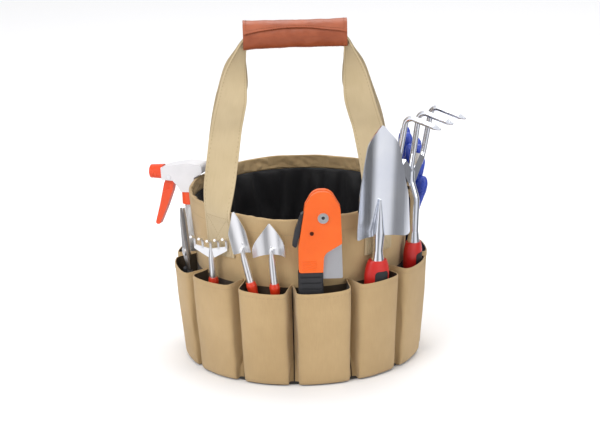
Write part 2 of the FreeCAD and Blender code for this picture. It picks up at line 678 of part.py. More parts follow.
def saw():
    place = in_pocket(size.saw_angle, twist=size.saw_twist)
    x, z = "dims.saw_bolt_x", "dims.saw_bolt_z"
    scale_corners = [
        ("-17", f"{z} - 75"),
        ("14.5", f"{z} - 75"),
        ("16", f"{z} - 50"),
        ("39.5", f"{z} - 36"),
        (f"{x} + 22.5", f"{z} + 12"),
        (f"{x} + 10", f"{z} + 35"),
        (f"{x} - 12", f"{z} + 35"),
        (f"{x} - 23", f"{z} + 16"),
        ("-17", f"{z} - 40"),
    ]
    rounds = [("13", (2,)), ("16", (5, 6)), ("9", (4, 7)), ("3", (0, 3)), ("8", (8,))]
    for name, side in (("saw_front_scale", -1), ("saw_back_scale", 1)):
        scale = plate(name + "_plate", scale_corners, "dims.saw_scale", rounds)
        hole = pin_through(name + "_hole", (x, "20", z), "dims.saw_bolt_radius + 0.05", "40")
        pin_bore = "dims.saw_pin_radius + 0.05"
        pin_hole = pin_through(name + "_pin_hole", ("0.5", "20", f"{z} - 21"), pin_bore, "40")
        scale.setExpression("Placement.Base.y", f"{side} * (dims.saw_slot + dims.saw_scale) / 2")
        drilled = cut(name + "_drilled", scale, hole)
        keep(name, cut(name, drilled, pin_hole), place)

    saw_blade(place, x, z)
    saw_bolt(place, x, z)

    spacer = plate(
        "saw_spacer",
        [
            ("-16.6", f"{z} - 74"),
            ("-7", f"{z} - 74"),
            ("-7", f"{z} - 48"),
            ("-16.6", f"{z} - 48"),
        ],
        "dims.saw_slot",
        [("2", (2, 3))],
    )
    keep("saw_spacer", spacer, place)

    lever = [
        ("-25", f"{z} - 38"),
        ("-19.5", f"{z} - 43"),
        ("-15.2", f"{z} - 24"),
        ("-9.5", f"{z} + 6"),
        ("-13", f"{z} + 4"),
        ("-21", f"{z} - 18"),
    ]
    thumb = plate("saw_lever_thumb", lever, "9", [("2.5", (0, 1)), ("6", (5,))])
    tongue = plate(
        "saw_lever_tongue",
        [("-17", f"{z} - 30"), ("2", f"{z} - 26"), ("4", f"{z} - 18"), ("-13", f"{z} - 14")],
        "dims.saw_slot - 0.6",
        [("3", (1, 2))],
    )
    lever_hole = pin_through("saw_lever_hole", ("0.5", "20", f"{z} - 21"), "dims.saw_pin_radius + 0.05", "40")
    keep("saw_lock_lever", cut("saw_lock_lever", fuse("saw_lever_body", thumb, tongue), lever_hole), place)
    rivet("saw_lock_pin", place, "y", ("0.5", f"{z} - 21"), "dims.saw_pin_radius", "dims.saw_face")

    foot = size.saw_grip_foot
    top = size.saw_bolt_z - 75.3
    grip = Part.makeBox(32.5, 16, top - foot, Vector(-18, -8, foot))
    grip = grip.makeFillet(4.5, [e for e in grip.Edges if abs(e.tangentAt(e.FirstParameter).z) > 0.9])
    for n in range(7):
        rib = Part.makeBox(40, 1.2, 2.2, Vector(-22, -8, top - 7 - n * 8))
        grip = grip.cut(rib)
        rib.translate(Vector(0, 14.8, 0))
        grip = grip.cut(rib)
    slot = Part.makeBox(40, size.saw_slot, 20, Vector(6, -size.saw_slot / 2, top - 14))
    keep("saw_rear_grip", made("saw_rear_grip", grip.cut(slot)), place)


def saw_blade(place, x, z):
    """Blade folded beside the handle: its back shows at the right, its teeth lie in the slot."""
    blade = plate(
        "saw_blade_plate",
        [
            (f"{x} - 6", f"{z} - 86"),
            (f"{x} + 24.5", f"{z} - 86"),
            (f"{x} + 23.5", f"{z} - 30"),
            (f"{x} + 12", f"{z} + 10"),
            (f"{x} - 12", f"{z} + 10"),
            (f"{x} - 8", f"{z} - 26"),
        ],
        "dims.saw_blade_thickness",
        [("2", (0, 1)), ("20", (2,))],
    )
    thickness = "dims.saw_blade_thickness"
    tang = pin_through("saw_tang", (x, f"{thickness} / 2", z), "dims.saw_tang", thickness)
    bore = pin_through("saw_blade_bore", (x, "20", z), "dims.saw_bolt_radius + 0.05", "40")
    whole = cut("saw_blade_bored", fuse("saw_blade_whole", blade, tang), bore)
    doc.recompute()
    depth, thick = size.saw_tooth, 10
    low, high, edge = size.saw_bolt_z - 84, size.saw_bolt_z - 30, size.saw_bolt_x - 6
    gullets, pitch = [], 4.2
    for n in range(int((high - low) / pitch)):
        height = low + n * pitch
        shift = -2 * (height - low + 2) / 60
        corners = [
            Vector(edge + shift - 2, -thick / 2, height),
            Vector(edge + shift + depth, -thick / 2, height + pitch * 0.15),
            Vector(edge + shift - 2, -thick / 2, height + pitch),
        ]
        gullets.append(Part.Face(Part.makePolygon(corners + corners[:1])).extrude(Vector(0, thick, 0)))
    keep("saw_blade", made("saw_blade", whole.Shape.cut(Part.makeCompound(gullets))), place)


def saw_bolt(place, x, z):
    """Socket-head pivot bolt through both scales and the blade, with its nut behind."""
    face = "dims.saw_face"
    shank = pin_through("bolt_shank", (x, f"{face} + 2", z), "dims.saw_bolt_radius", f"2 * {face} + 3")
    head = pin_through("bolt_head", (x, f"-{face}", z), "7", "2.4")
    along = Rotation(X_AXIS, 90)
    recess = (x, f"-{face} - 1", z)
    socket = primitive("Part::Prism", "bolt_socket", recess, along, Circumradius="3", Height="6")
    keep("saw_pivot_bolt", cut("saw_pivot_bolt", fuse("bolt_body", shank, head), socket), place)
    seat = (x, f"{face} + 4", z)
    nut = primitive("Part::Prism", "nut_body", seat, along, Circumradius="6.5", Height="4")
    thread = pin_through("nut_thread", (x, f"{face} + 5", z), "dims.saw_bolt_radius + 0.05", "6")
    keep("saw_pivot_nut", cut("saw_pivot_nut", nut, thread), place)


# ---------------------------------------------------------------- small tools


def small_grip(name, place, top):
    foot, radius = "dims.small_grip_foot", "dims.small_grip_radius"
    corners = [
        ("0", foot),
        (f"{radius} - 2.2", foot),
        (f"{radius} - 1.2", f"{foot} + 4"),
        (f"{radius} - 0.5", f"{foot} + 28"),
        (radius, f"{foot} + 62"),
        (f"{radius} - 1.2", f"{top} - 16"),
        (f"{radius} - 0.2", f"{top} - 5"),
        (f"{radius} - 1.4", top),
        ("2.6", top),
        ("2.6", f"{top} - 30"),
        ("0", f"{top} - 30"),
    ]
    keep(name, turned(name, corners), place)


def small_stem(name, top, reach):
    """Stem with a tang that goes into the handle."""
    return turned(
        name,
        [
            ("0", f"{top} - 28"),
            ("2.5", f"{top} - 28"),
            ("2.5", top),
            ("dims.small_stem", top),
            ("dims.small_stem - 0.4", f"{reach} - 8"),
            ("2", f"{reach} + 7"),
            ("0", f"{reach} + 7"),
        ],
    )


def small_trowel(prefix, place, half, tip, shoulder):
    corners = [
        (f"-{half}", "dims.small_base"),
        (half, "dims.small_base"),
        (half, f"{tip} - {shoulder}"),
        ("0", tip),
        (f"-{half}", f"{tip} - {shoulder}"),
    ]
    blade = dished_blade(
        f"{prefix}_blade",
        corners,
        [("18", (2, 4)), ("2", (0, 1, 3))],
        "dims.small_bend",
        "dims.small_sheet",
        "3.4",
    )
    stem = small_stem(f"{prefix}_stem", "dims.small_grip_top", "dims.small_base")
    rivet = pin_through(f"{prefix}_rivet", ("0", "5", "dims.small_base + 5"), "1.9", "9.6")
    keep(f"{prefix}_head", fuse(f"{prefix}_head", blade, stem, rivet), place)
    small_grip(f"{prefix}_grip", place, "dims.small_grip_top")


def small_rake():
    place = in_pocket(size.rake_angle, twist=size.rake_twist)
    half, bar = "dims.rake_half", "dims.rake_bar"
    corners = [
        ("-4.5", f"{bar} - 12"),
        ("4.5", f"{bar} - 12"),
        (f"{half} + 1", f"{bar} - 1"),
        (f"{half} + 1", f"{bar} + 5"),
        ("0", f"{bar}"),
        (f"-{half} - 1", f"{bar} + 5"),
        (f"-{half} - 1", f"{bar} - 1"),
    ]
    web = plate("rake_web", corners, "2.4", [("9", (0, 1)), ("2.5", (2, 3, 5, 6)), ("20", (4,))])
    stem = small_stem("rake_stem", "dims.rake_grip_top", "dims.rake_bar - 6")
    doc.recompute()
    tines = []
    for n in range(5):
        across = (n / 2 - 1) * size.rake_half
        root = size.rake_bar + 1 + 4 * abs(n / 2 - 1)
        path = [Vector(across, 0, root - 3), Vector(across, 0, root + 9), Vector(across, -11, root + 13)]
        tines.append(rod(path, [5], size.rake_tine))
    shape = web.Shape.fuse([stem.Shape] + tines).removeSplitter()
    keep("rake_head", made("rake_head", shape), place)
    small_grip("rake_grip", place, "dims.rake_grip_top")


# ---------------------------------------------------------------- snips


def snips():
    place = in_pocket(size.snips_angle, twist=size.snips_twist)
    pivot, tip = "dims.snips_pivot", "dims.snips_tip"
    for name, side in (("snips_front_blade", -1), ("snips_back_blade", 1)):
        mirrored = -side
        corners = [
            (f"{mirrored} * 4.5", "dims.snips_foot + 22"),
            (f"{mirrored} * 10.5", "dims.snips_foot + 22"),
            (f"{mirrored} * 10.5", f"{pivot} - 22"),
            (f"{mirrored} * 8.5", f"{pivot} - 2"),
            (f"{mirrored} * 3.5", f"{pivot} + 18"),
            (f"{mirrored} * -1", tip),
            (f"{mirrored} * -7", f"{tip} - 26"),
            (f"{mirrored} * -9", f"{pivot} + 4"),
            (f"{mirrored} * -6", f"{pivot} - 9"),
            (f"{mirrored} * 4.5", f"{pivot} - 24"),
        ]
        blade = plate(name + "_plate", corners, "dims.snips_plate", [("1", (5,)), ("6", (7,)), ("14", (6,))])
        blade.setExpression("Placement.Base.y", f"{side} * (dims.snips_plate / 2 + 0.05)")
        bore = pin_through(name + "_bore", ("0", "10", pivot), "dims.snips_screw + 0.05", "20")
        keep(name, cut(name, blade, bore), place)
        grip = primitive(
            "Part::Box",
            name + "_block",
            (f"{mirrored} * 7.7 - 4.25", "-4.2", "dims.snips_foot"),
            Length="8.5",
            Width="8.4",
            Height=f"{pivot} - 24 - dims.snips_foot",
        )
        doc.recompute()
        rounded = doc.addObject("Part::Fillet", name + "_block_rounded")
        rounded.Base = grip
        rounded.Edges = [(n, 2.8, 2.8) for n in range(1, len(grip.Shape.Edges) + 1)]
        label = name.replace("blade", "grip")
        keep(label, cut(label, rounded, blade), place)
    face = "dims.snips_face"
    shank = pin_through("snips_shank", ("0", face, pivot), "dims.snips_screw", f"2 * {face}")
    heads = [
        pin_through(f"snips_head_{n}", ("0", at, pivot), "5.6", "1.8")
        for n, at in enumerate((f"{face} + 1.8", f"-{face}"))
    ]
    low_corner = ("-8", f"-{face} - 3", f"{pivot} - 0.6")
    slot = primitive("Part::Box", "snips_slot", low_corner, Length="16", Width="2", Height="1.2")
    keep("snips_pivot_screw", cut("snips_pivot_screw", fuse("snips_screw_body", shank, *heads), slot), place)


# ---------------------------------------------------------------- sprayer


def sprayer():
    place = in_pocket(size.spray_angle)
    wide, deep, wall = size.bottle_half, size.bottle_half_deep, size.bottle_wall
    foot, shoulder = size.bottle_foot, size.bottle_shoulder
    collar, collar_low, collar_top = size.collar_radius, size.collar_foot, size.collar_top
    neck = collar - 2.2

    def shell(shrink, low, high):
        stations = [
            (low, wide - 3 - shrink, deep - 1.2 - shrink),
            (low + 8, wide - shrink, deep - shrink),
            (shoulder - 30, wide - shrink, deep + 1 - shrink),
            (shoulder - 10, wide * 0.86 - shrink, deep + 1 - shrink),
            (collar_low - 4, neck + 1 - shrink, neck - shrink),
            (high, neck + 0.4 - shrink, neck - shrink),
        ]
        return lofted(stations)

    bottle = shell(0, foot, collar_top - 3).cut(shell(wall, foot + wall, collar_top - 1))
    keep("spray_bottle", made("spray_bottle", bottle), place)

    ring = turned(
        "spray_collar",
        [
            (f"dims.collar_radius - 1.4", "dims.collar_foot"),
            ("dims.collar_radius + 1.2", "dims.collar_foot"),
            ("dims.collar_radius + 0.6", "dims.collar_top"),
            (f"dims.collar_radius - 1.4", "dims.collar_top"),
        ],
    )
    keep("spray_collar", ring, place)

    height = "dims.nozzle_height"
    front = "dims.shroud_front"
    shroud = plate(
        "spray_shroud",
        [
            (f"{front} + 0.3", f"{height} - 9"),
            (f"{front} + 17", f"{height} - 10"),
            ("-15", f"{height} - 17"),
            ("-10", "dims.collar_top + 0.3"),
            ("11", "dims.collar_top + 0.3"),
            ("11", f"{height} - 5"),
            ("24", f"{height} + 1"),
            ("24", f"{height} + 13"),
            ("0", f"{height} + 15"),
            (f"{front} + 12", f"{height} + 11"),
            (f"{front} + 0.3", f"{height} + 8"),
        ],
        "2 * dims.spray_half",
        [("5", (6, 7)), ("4", (5,)), ("12", (8,))],
        plane="YZ_Plane",
    )
    trigger_slot = primitive(
        "Part::Box",
        "trigger_slot",
        ("-5", f"{front} - 1", f"{height} - 30"),
        Length="10",
        Width="24",
        Height="31",
    )
    pin_line = ("-20", f"{front} + 12", f"{height} - 5")
    hole = pin_across("trigger_pin_hole", pin_line, "dims.trigger_pin + 0.05", "40")
    keep("spray_head", cut("spray_head", cut("spray_head_slotted", shroud, trigger_slot), hole), place)

    rivet("spray_trigger_pin", place, "x", pin_line[1:], "dims.trigger_pin", "dims.spray_half")
    lever = plate(
        "trigger_lever",
        [
            (f"{front} + 8", f"{height} - 1"),
            (f"{front} + 15", f"{height} - 1"),
            (f"{front} + 17", f"{height} - 9"),
            (f"{front} + 12", f"{height} - 26"),
            (f"{front} + 1", f"{height} - 50"),
            (f"{front} - 12", f"{height} - 75"),
            (f"{front} - 19", f"{height} - 75"),
            (f"{front} - 9", f"{height} - 46"),
            (f"{front}", f"{height} - 16"),
        ],
        "9",
        [("2.5", (0, 1)), ("3", (5, 6))],
        plane="YZ_Plane",
    )
    trigger_bore = pin_across("trigger_bore", pin_line, "dims.trigger_pin + 0.05", "40")
    keep("spray_trigger", cut("spray_trigger", lever, trigger_bore), place)

    barrel = primitive(
        "Part::Cone",
        "nozzle_barrel",
        ("0", f"{front}", height),
        Rotation(X_AXIS, 90),
        Radius1="dims.nozzle_radius - 0.6",
        Radius2="dims.nozzle_radius - 1.6",
        Height="dims.nozzle_length",
    )
    jet = pin_through("nozzle_jet", ("0", "4 - dims.nozzle_out", height), "3.2", "6")
    flats = primitive(
        "Part::Prism",
        "nozzle_flats",
        ("0", f"{front}", height),
        Rotation(X_AXIS, 90),
        Polygon="4",
        Circumradius="dims.nozzle_radius * 1.28",
        Height="dims.nozzle_length",
    )
    keep("spray_nozzle", cut("spray_nozzle", common("nozzle_body", barrel, flats), jet), place)

    tube = Part.makeCylinder(2.2, collar_top - foot - 6, Vector(0, 0, foot + 6))
    tube = tube.cut(Part.makeCylinder(1.4, collar_top, Vector(0, 0, foot)))
    keep("spray_dip_tube", made("spray_dip_tube", tube), place)


# ---------------------------------------------------------------- gloves


def along(line, height):
    """Depth and half thickness of a glove at a height, between the two stations that hold it."""
    for (low, low_y, low_half), (high, high_y, high_half) in zip(line, line[1:]):
        if height <= high or high == line[-1][0]:
            share = (height - low) / (high - low)
            return low_y + (high_y - low_y) * share, low_half + (high_half - low_half) * share


def glove(name, place, line, thumb):
    """A flat work glove on its cuff; line holds (height, depth, half thickness) up to the fingertips."""
    top, foot = line[-1][0], size.glove_foot
    knuckles = top - 81

    def ring(height, half, across=0.0, flat=1.0):
        y, thick = along(line, height)
        return oval(half, thick * flat, height, (across, y))

    palm = ((foot, 27), (foot + 42, 24), (foot + 72, 28), (150, 29), (180, 29))
    palm += ((knuckles, 29), (knuckles + 8, 27))
    shape = Part.makeLoft([ring(height, half) for height, half in palm], True)
    pieces = []
    for across, length in ((-20.5, 62), (-7, 75), (7, 81), (20, 70)):
        tip = knuckles + length
        finger = (
            (knuckles - 12, 6.0, 1.0),
            (knuckles + 14, 6.4, 1.0),
            (knuckles + 34, 6.4, 1.0),
            (tip - 12, 6.0, 1.0),
            (tip - 4, 4.4, 0.75),
            (tip, 1.6, 0.28),
        )
        rings = [ring(height, half, across, flat) for height, half, flat in finger]
        pieces.append(Part.makeLoft(rings, True))
    rings = [oval(half, thick, height, (x, y)) for height, x, y, half, thick in thumb]
    pieces.append(Part.makeLoft(rings, True))
    keep(name, made(name, shape.fuse(pieces)), place)


def gloves():
    """A pair that fans out: the outer glove's fingers lean out, the inner one's stay upright."""
    place = in_pocket(size.glove_angle)
    foot = size.glove_foot
    outer_thumb = (
        (174, -17, 4.0, 6.5, 1.6),
        (188, -20, 3.3, 7.5, 2.5),
        (204, -25, 1.6, 8, 4.0),
        (222, -30, -1.2, 7.5, 5.8),
        (233, -32, -1.9, 6, 5.0),
        (238, -33, -2.1, 2.4, 2.2),
    )
    outer = ((foot, -4.0, 2.0), (134, 3.9, 2.1), (200, 4.2, 2.2))
    outer += ((230, 2.0, 3.2), (258, -0.9, 5.4), (282, -0.8, 5.8))
    glove("outer_glove", place, outer, outer_thumb)
    inner_thumb = (
        (182, 18, 9.5, 7, 2.0),
        (205, 28, 9.4, 6.5, 2.4),
        (226, 35, 6.9, 6.2, 4.2),
        (238, 38, 7.2, 5.0, 4.2),
        (243, 39, 7.4, 2.2, 1.8),
    )
    inner = ((foot, 6.2, 2.0), (134, 9.0, 2.1), (200, 9.6, 2.2))
    inner += ((230, 9.2, 2.8), (262, 13.6, 5.4), (299, 16.1, 5.8))
    glove("inner_glove", place, inner, inner_thumb)


# ---------------------------------------------------------------- build, check and write


def main():
    bag_body()
    pockets()
    for name, side in (("front_handle", -1), ("rear_handle", 1)):
        handle(name, side)
    grip()
    trowel()
    cultivator()
    saw()
    wide_place = in_pocket(size.wide_angle, size.wide_lean)
    small_trowel("wide_trowel", wide_place, "dims.wide_half", "dims.wide_tip", "26")
    narrow_place = in_pocket(size.narrow_angle, size.narrow_lean)
    small_trowel("narrow_trowel", narrow_place, "dims.narrow_half", "dims.narrow_tip", "30")
    small_rake()
    snips()
    sprayer()
    gloves()
    doc.recompute()

    failed = [o.Label for o in doc.Objects if {"Invalid", "Error"} & set(o.State)]
    broken = [n.Label for n in nodes if n.Shape.isNull() or not n.Shape.isValid() or not n.Shape.Solids]
    if failed or broken:
        raise SystemExit(f"failed features: {failed}; broken sub-parts: {broken}")
    os.makedirs("parts", exist_ok=True)
    for node in nodes:
        node.Shape.exportStep(f"parts/{node.Label}.step")
    print(f"{len(nodes)} sub-parts written")


main()
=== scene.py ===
import math

import bpy
from mathutils import Matrix, Vector, noise


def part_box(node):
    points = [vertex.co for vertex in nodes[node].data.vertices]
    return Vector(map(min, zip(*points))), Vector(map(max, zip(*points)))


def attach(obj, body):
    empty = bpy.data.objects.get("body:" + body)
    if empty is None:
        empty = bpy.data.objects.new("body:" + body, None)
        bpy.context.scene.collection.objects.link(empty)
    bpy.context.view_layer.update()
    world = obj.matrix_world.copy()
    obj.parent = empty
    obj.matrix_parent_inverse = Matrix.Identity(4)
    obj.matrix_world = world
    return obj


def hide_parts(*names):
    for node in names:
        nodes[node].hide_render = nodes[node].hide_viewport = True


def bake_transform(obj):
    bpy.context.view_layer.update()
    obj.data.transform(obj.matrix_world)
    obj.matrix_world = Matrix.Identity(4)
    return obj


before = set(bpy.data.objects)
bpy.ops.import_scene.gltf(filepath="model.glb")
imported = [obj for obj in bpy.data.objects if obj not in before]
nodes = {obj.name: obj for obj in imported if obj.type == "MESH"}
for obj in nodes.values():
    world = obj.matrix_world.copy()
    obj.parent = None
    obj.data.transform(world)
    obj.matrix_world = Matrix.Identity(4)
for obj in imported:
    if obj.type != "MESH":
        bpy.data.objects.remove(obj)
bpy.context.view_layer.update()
mm = 0.001
mixDark, mixLight, mixed = 6, 7, 2  # the two colour inputs and the colour output of a Mix node
print("frame loaded:", len(nodes), "nodes")


# helpers

def deselectAll():
    for item in bpy.context.selected_objects:
        item.select_set(False)
    bpy.context.view_layer.objects.active = None


def pickOnly(piece):
    deselectAll()
    piece.select_set(True)
    bpy.context.view_layer.objects.active = piece


def rename(piece, name):
    piece.name = name
    piece.data.name = name
    return piece


def applyModifier(piece, kind, **settings):
    pickOnly(piece)
    modifier = piece.modifiers.new(kind.lower(), kind)
    for name, value in settings.items():
        setattr(modifier, name, value)
    bpy.ops.object.modifier_apply(modifier=modifier.name)


def editAll(piece, operator, **settings):
    # runs an edit mode operator on the whole mesh
    pickOnly(piece)
    bpy.ops.object.mode_set(mode="EDIT")
    bpy.ops.mesh.select_all(action="SELECT")
    operator(**settings)
    bpy.ops.object.mode_set(mode="OBJECT")


def mergeDoubles(piece):
    editAll(piece, bpy.ops.mesh.remove_doubles, threshold=0.02 * mm)


def bevel(piece, width, segments=2, angle=1.0):
    applyModifier(piece, "BEVEL", width=width, segments=segments, limit_method="ANGLE", angle_limit=angle)


def smooth(piece, angle):
    pickOnly(piece)
    bpy.ops.object.shade_smooth_by_angle(angle=math.radians(angle))


def clamp(value, low=0.0, high=1.0):
    return max(low, min(high, value))


def ease(value, low, high):
    share = clamp((value - low) / (high - low))
    return share * share * (3 - 2 * share)


def wobble(x, y, z, seed=0.0):
    return noise.noise(Vector((x + 17.3 * seed, y - 9.1 * seed, z + 4.7 * seed)))


def along(points, share):
    # a smooth line through the points, each a tuple of numbers, from share 0 to 1
    last = len(points) - 1
    place = clamp(share) * last
    index = min(int(place), last - 1)
    t = place - index
    before = points[max(index - 1, 0)]
    start, end = points[index], points[index + 1]
    after = points[min(index + 2, last)]
    found = []
    for a, b, c, d in zip(before, start, end, after):
        found.append(0.5 * (2 * b + (c - a) * t + (2 * a - 5 * b + 4 * c - d) * t * t
                            + (3 * b - a - 3 * c + d) * t * t * t))
    return found


def onRing(angle, radius, height):
    # angle 0 is the front of the bag and 90 its right side
    turn = math.radians(angle)
    return Vector((radius * math.sin(turn), -radius * math.cos(turn), height))


def clothSheet(name, columns, rows, flat, place, thickness, body="bag", offset=-1.0):
    # a flat grid whose points are put in place one by one, with its flat size kept as its UV map
    deselectAll()
    bpy.ops.mesh.primitive_grid_add(x_subdivisions=columns, y_subdivisions=rows, size=1)
    piece = rename(bpy.context.object, name)
    mesh = piece.data
    layer = mesh.uv_layers.active.data
    for loop in mesh.loops:
        spot = mesh.vertices[loop.vertex_index].co
        layer[loop.index].uv = ((spot.x + 0.5) * flat[0], (spot.y + 0.5) * flat[1])
    for vertex in mesh.vertices:
        vertex.co = place(vertex.co.x + 0.5, vertex.co.y + 0.5)
    mergeDoubles(piece)
    if thickness:
        applyModifier(piece, "SOLIDIFY", thickness=thickness, offset=offset)
    smooth(piece, 60)
    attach(piece, body)
    return piece


def dress(piece, material):
    piece.data.materials.clear()
    piece.data.materials.append(material)


def addNode(tree, kind, values=None, **settings):
    # values are numbers, colours or other nodes' outputs, by the name or the place of the input
    made = tree.nodes.new(kind)
    for name, value in settings.items():
        setattr(made, name, value)
    for name, value in (values or {}).items():
        if isinstance(value, bpy.types.NodeSocket):
            tree.links.new(value, made.inputs[name])
        else:
            made.inputs[name].default_value = value
    return made


def calculate(tree, operation, *values):
    return addNode(tree, "ShaderNodeMath", dict(enumerate(values)), operation=operation).outputs[0]


def blendColours(tree, factor, first, second, how="MIX"):
    values = {"Factor": factor, mixDark: first, mixLight: second}
    return addNode(tree, "ShaderNodeMix", values, data_type="RGBA", blend_type=how).outputs[mixed]


# camera, light and floor

studio = {"distance": 3.3007, "elevation": 16.736, "target": 0.18, "lens": 146.09, "roll": -1.512,
          "shift": 0.011, "sensor": 36, "farthest": 100, "world": 0.84, "backdrop": 1.2,
          "floorSize": 30.0, "floorColour": (0.93, 0.93, 0.94, 1), "floorRoughness": 0.9,
          # the walls fade into the ceiling between two heights
          "ceiling": (0.2, 0.55),
          # place, width and power of each lamp, all turned to one spot
          "lamps": {"key": ((-1.3, -1.8, 1.9), 1.4, 34.0), "fill": ((1.9, -1.2, 1.1), 1.6, 9.0),
                    "top": ((0.2, 0.9, 2.4), 1.6, 26.0)},
          "lampTarget": (0, 0, 0.2),
          # how bright the walls are all round, from the back over the left and the front to the right
          "walls": [(0.0, 0.95), (0.13, 0.95), (0.18, 0.22), (0.27, 0.16), (0.31, 1.25), (0.42, 1.2),
                    (0.47, 0.34), (0.53, 0.30), (0.57, 0.95), (0.68, 1.05), (0.73, 0.16), (0.83, 0.22),
                    (0.89, 0.95), (1.0, 0.95)]}


def makeCamera():
    view = bpy.data.cameras.new("camera")
    camera = bpy.data.objects.new("camera", view)
    bpy.context.scene.collection.objects.link(camera)
    rise = math.radians(studio["elevation"])
    reach = studio["distance"]
    camera.location = (0, -reach * math.cos(rise), studio["target"] + reach * math.sin(rise))
    look = Vector((0, 0, studio["target"])) - camera.location
    turned = look.to_track_quat("-Z", "Y").to_matrix().to_4x4()
    roll = Matrix.Rotation(math.radians(studio["roll"]), 4, "Z")
    camera.matrix_world = Matrix.Translation(camera.location) @ turned @ roll
    view.lens = studio["lens"]
    view.sensor_width = studio["sensor"]
    view.shift_y = studio["shift"]
    view.clip_end = studio["farthest"]
    bpy.context.scene.camera = camera


def makeFloor():
    deselectAll()
    bpy.ops.mesh.primitive_plane_add(size=studio["floorSize"])
    floor = rename(bpy.context.object, "floor")
    pale = bpy.data.materials.new("paleFloor")
    pale.use_nodes = True
    shader = pale.node_tree.nodes["Principled BSDF"]
    shader.inputs["Base Color"].default_value = studio["floorColour"]
    shader.inputs["Roughness"].default_value = studio["floorRoughness"]
    floor.data.materials.append(pale)
    floor.visible_glossy = False


def makeWorld():
    # metal mirrors bright and dark walls, and the camera sees a plain white backdrop
    world = bpy.data.worlds.new("studio")
    bpy.context.scene.world = world
    world.use_nodes = True
    tree = world.node_tree
    direction = addNode(tree, "ShaderNodeTexCoord")
    split = addNode(tree, "ShaderNodeSeparateXYZ", {0: direction.outputs["Generated"]})
    turn = calculate(tree, "ARCTAN2", split.outputs["X"], calculate(tree, "MULTIPLY", split.outputs["Y"], -1))
    allRound = {"Value": turn, "From Min": -math.pi, "From Max": math.pi}
    walls = addNode(tree, "ShaderNodeValToRGB", {0: addNode(tree, "ShaderNodeMapRange", allRound).outputs[0]})
    for index, (place, bright) in enumerate(studio["walls"]):
        stop = walls.color_ramp.elements[0] if index == 0 else walls.color_ramp.elements.new(place)
        stop.position = place
        stop.color = (bright, bright, bright * 1.03, 1)
    walls.color_ramp.elements.remove(walls.color_ramp.elements[-1])
    low, high = studio["ceiling"]
    heights = {"Value": split.outputs["Z"], "From Min": low, "From Max": high}
    ceiling = addNode(tree, "ShaderNodeMapRange", heights)
    room = blendColours(tree, ceiling.outputs[0], walls.outputs[0], (1, 1, 1, 1))
    seen = addNode(tree, "ShaderNodeLightPath")
    white = (*[studio["backdrop"]] * 3, 1)
    backdrop = blendColours(tree, seen.outputs["Is Camera Ray"], room, white)
    tree.links.new(backdrop, tree.nodes["Background"].inputs["Color"])
    tree.nodes["Background"].inputs["Strength"].default_value = studio["world"]


def makeLamps():
    for name, (place, width, power) in studio["lamps"].items():
        light = bpy.data.lights.new(name, "AREA")
        light.size = width
        light.energy = power
        lamp = bpy.data.objects.new(name, light)
        bpy.context.scene.collection.objects.link(lamp)
        lamp.location = place
        aim = Vector(studio["lampTarget"]) - lamp.location
        lamp.rotation_euler = aim.to_track_quat("-Z", "Y").to_euler()


makeCamera()
makeFloor()
makeWorld()
makeLamps()
bpy.context.scene.view_settings.view_transform = "Standard"
print("studio made")


# node groups shared by the materials

def newGroup(name, takes, gives):
    # the socket named Vector is a vector, and all others are numbers
    tree = bpy.data.node_groups.new(name, "ShaderNodeTree")
    for direction, labels in (("INPUT", takes), ("OUTPUT", gives)):
        for label in labels:
            kind = "NodeSocketVector" if label == "Vector" else "NodeSocketFloat"
            tree.interface.new_socket(name=label, in_out=direction, socket_type=kind)
    return tree, tree.nodes.new("NodeGroupInput").outputs, tree.nodes.new("NodeGroupOutput").inputs


def makeWeaveGroup():
    # plain weave: two crossed rows of threads, one up where the other is down
    tree, given, result = newGroup("weave", ("Vector", "Threads", "Slub"), ("Height", "Shade"))
    parts = addNode(tree, "ShaderNodeSeparateXYZ", {0: given["Vector"]})
    waves = [calculate(tree, "SINE", calculate(tree, "MULTIPLY", parts.outputs[axis], given["Threads"]))
             for axis in ("X", "Y")]
    crossed = calculate(tree, "MULTIPLY", *waves)
    stretched = addNode(tree, "ShaderNodeMapping", {"Vector": given["Vector"], "Scale": (900, 60, 900)})
    cloud = {"Vector": stretched.outputs[0], "Scale": 1.0, "Detail": 3.0}
    slubs = addNode(tree, "ShaderNodeTexNoise", cloud).outputs[0]
    height = calculate(tree, "ADD", crossed, calculate(tree, "MULTIPLY", slubs, given["Slub"]))
    tree.links.new(height, result["Height"])
    tree.links.new(slubs, result["Shade"])
    return tree


def makeMottleGroup():
    # uneven colour at two sizes, and a fine grain for the surface
    tree, given, result = newGroup("mottle", ("Vector", "Large", "Small"), ("Patches", "Grain"))
    for size, out, detail in (("Large", "Patches", 4.0), ("Small", "Grain", 2.0)):
        values = {"Vector": given["Vector"], "Scale": given[size], "Detail": detail, "Roughness": 0.6}
        cloud = addNode(tree, "ShaderNodeTexNoise", values)
        tree.links.new(cloud.outputs[0], result[out])
    return tree


def makeScratchGroup():
    # long fine marks along Z, as brushing or polishing leaves
    tree, given, result = newGroup("brushMarks", ("Vector", "Fineness"), ("Marks",))
    stretched = addNode(tree, "ShaderNodeMapping", {"Vector": given["Vector"], "Scale": (1.0, 1.0, 0.03)})
    values = {"Vector": stretched.outputs[0], "Scale": given["Fineness"], "Detail": 3.0, "Roughness": 0.7}
    marks = addNode(tree, "ShaderNodeTexNoise", values)
    tree.links.new(marks.outputs[0], result["Marks"])
    return tree


weave, mottle, brushMarks = makeWeaveGroup(), makeMottleGroup(), makeScratchGroup()


def startMaterial(name, **sockets):
    material = bpy.data.materials.new(name)
    material.use_nodes = True
    tree = material.node_tree
    shader = tree.nodes["Principled BSDF"].inputs
    for socket, value in sockets.items():
        shader[socket.replace("_", " ")].default_value = value
    return material, tree, shader, tree.nodes.new("ShaderNodeTexCoord").outputs


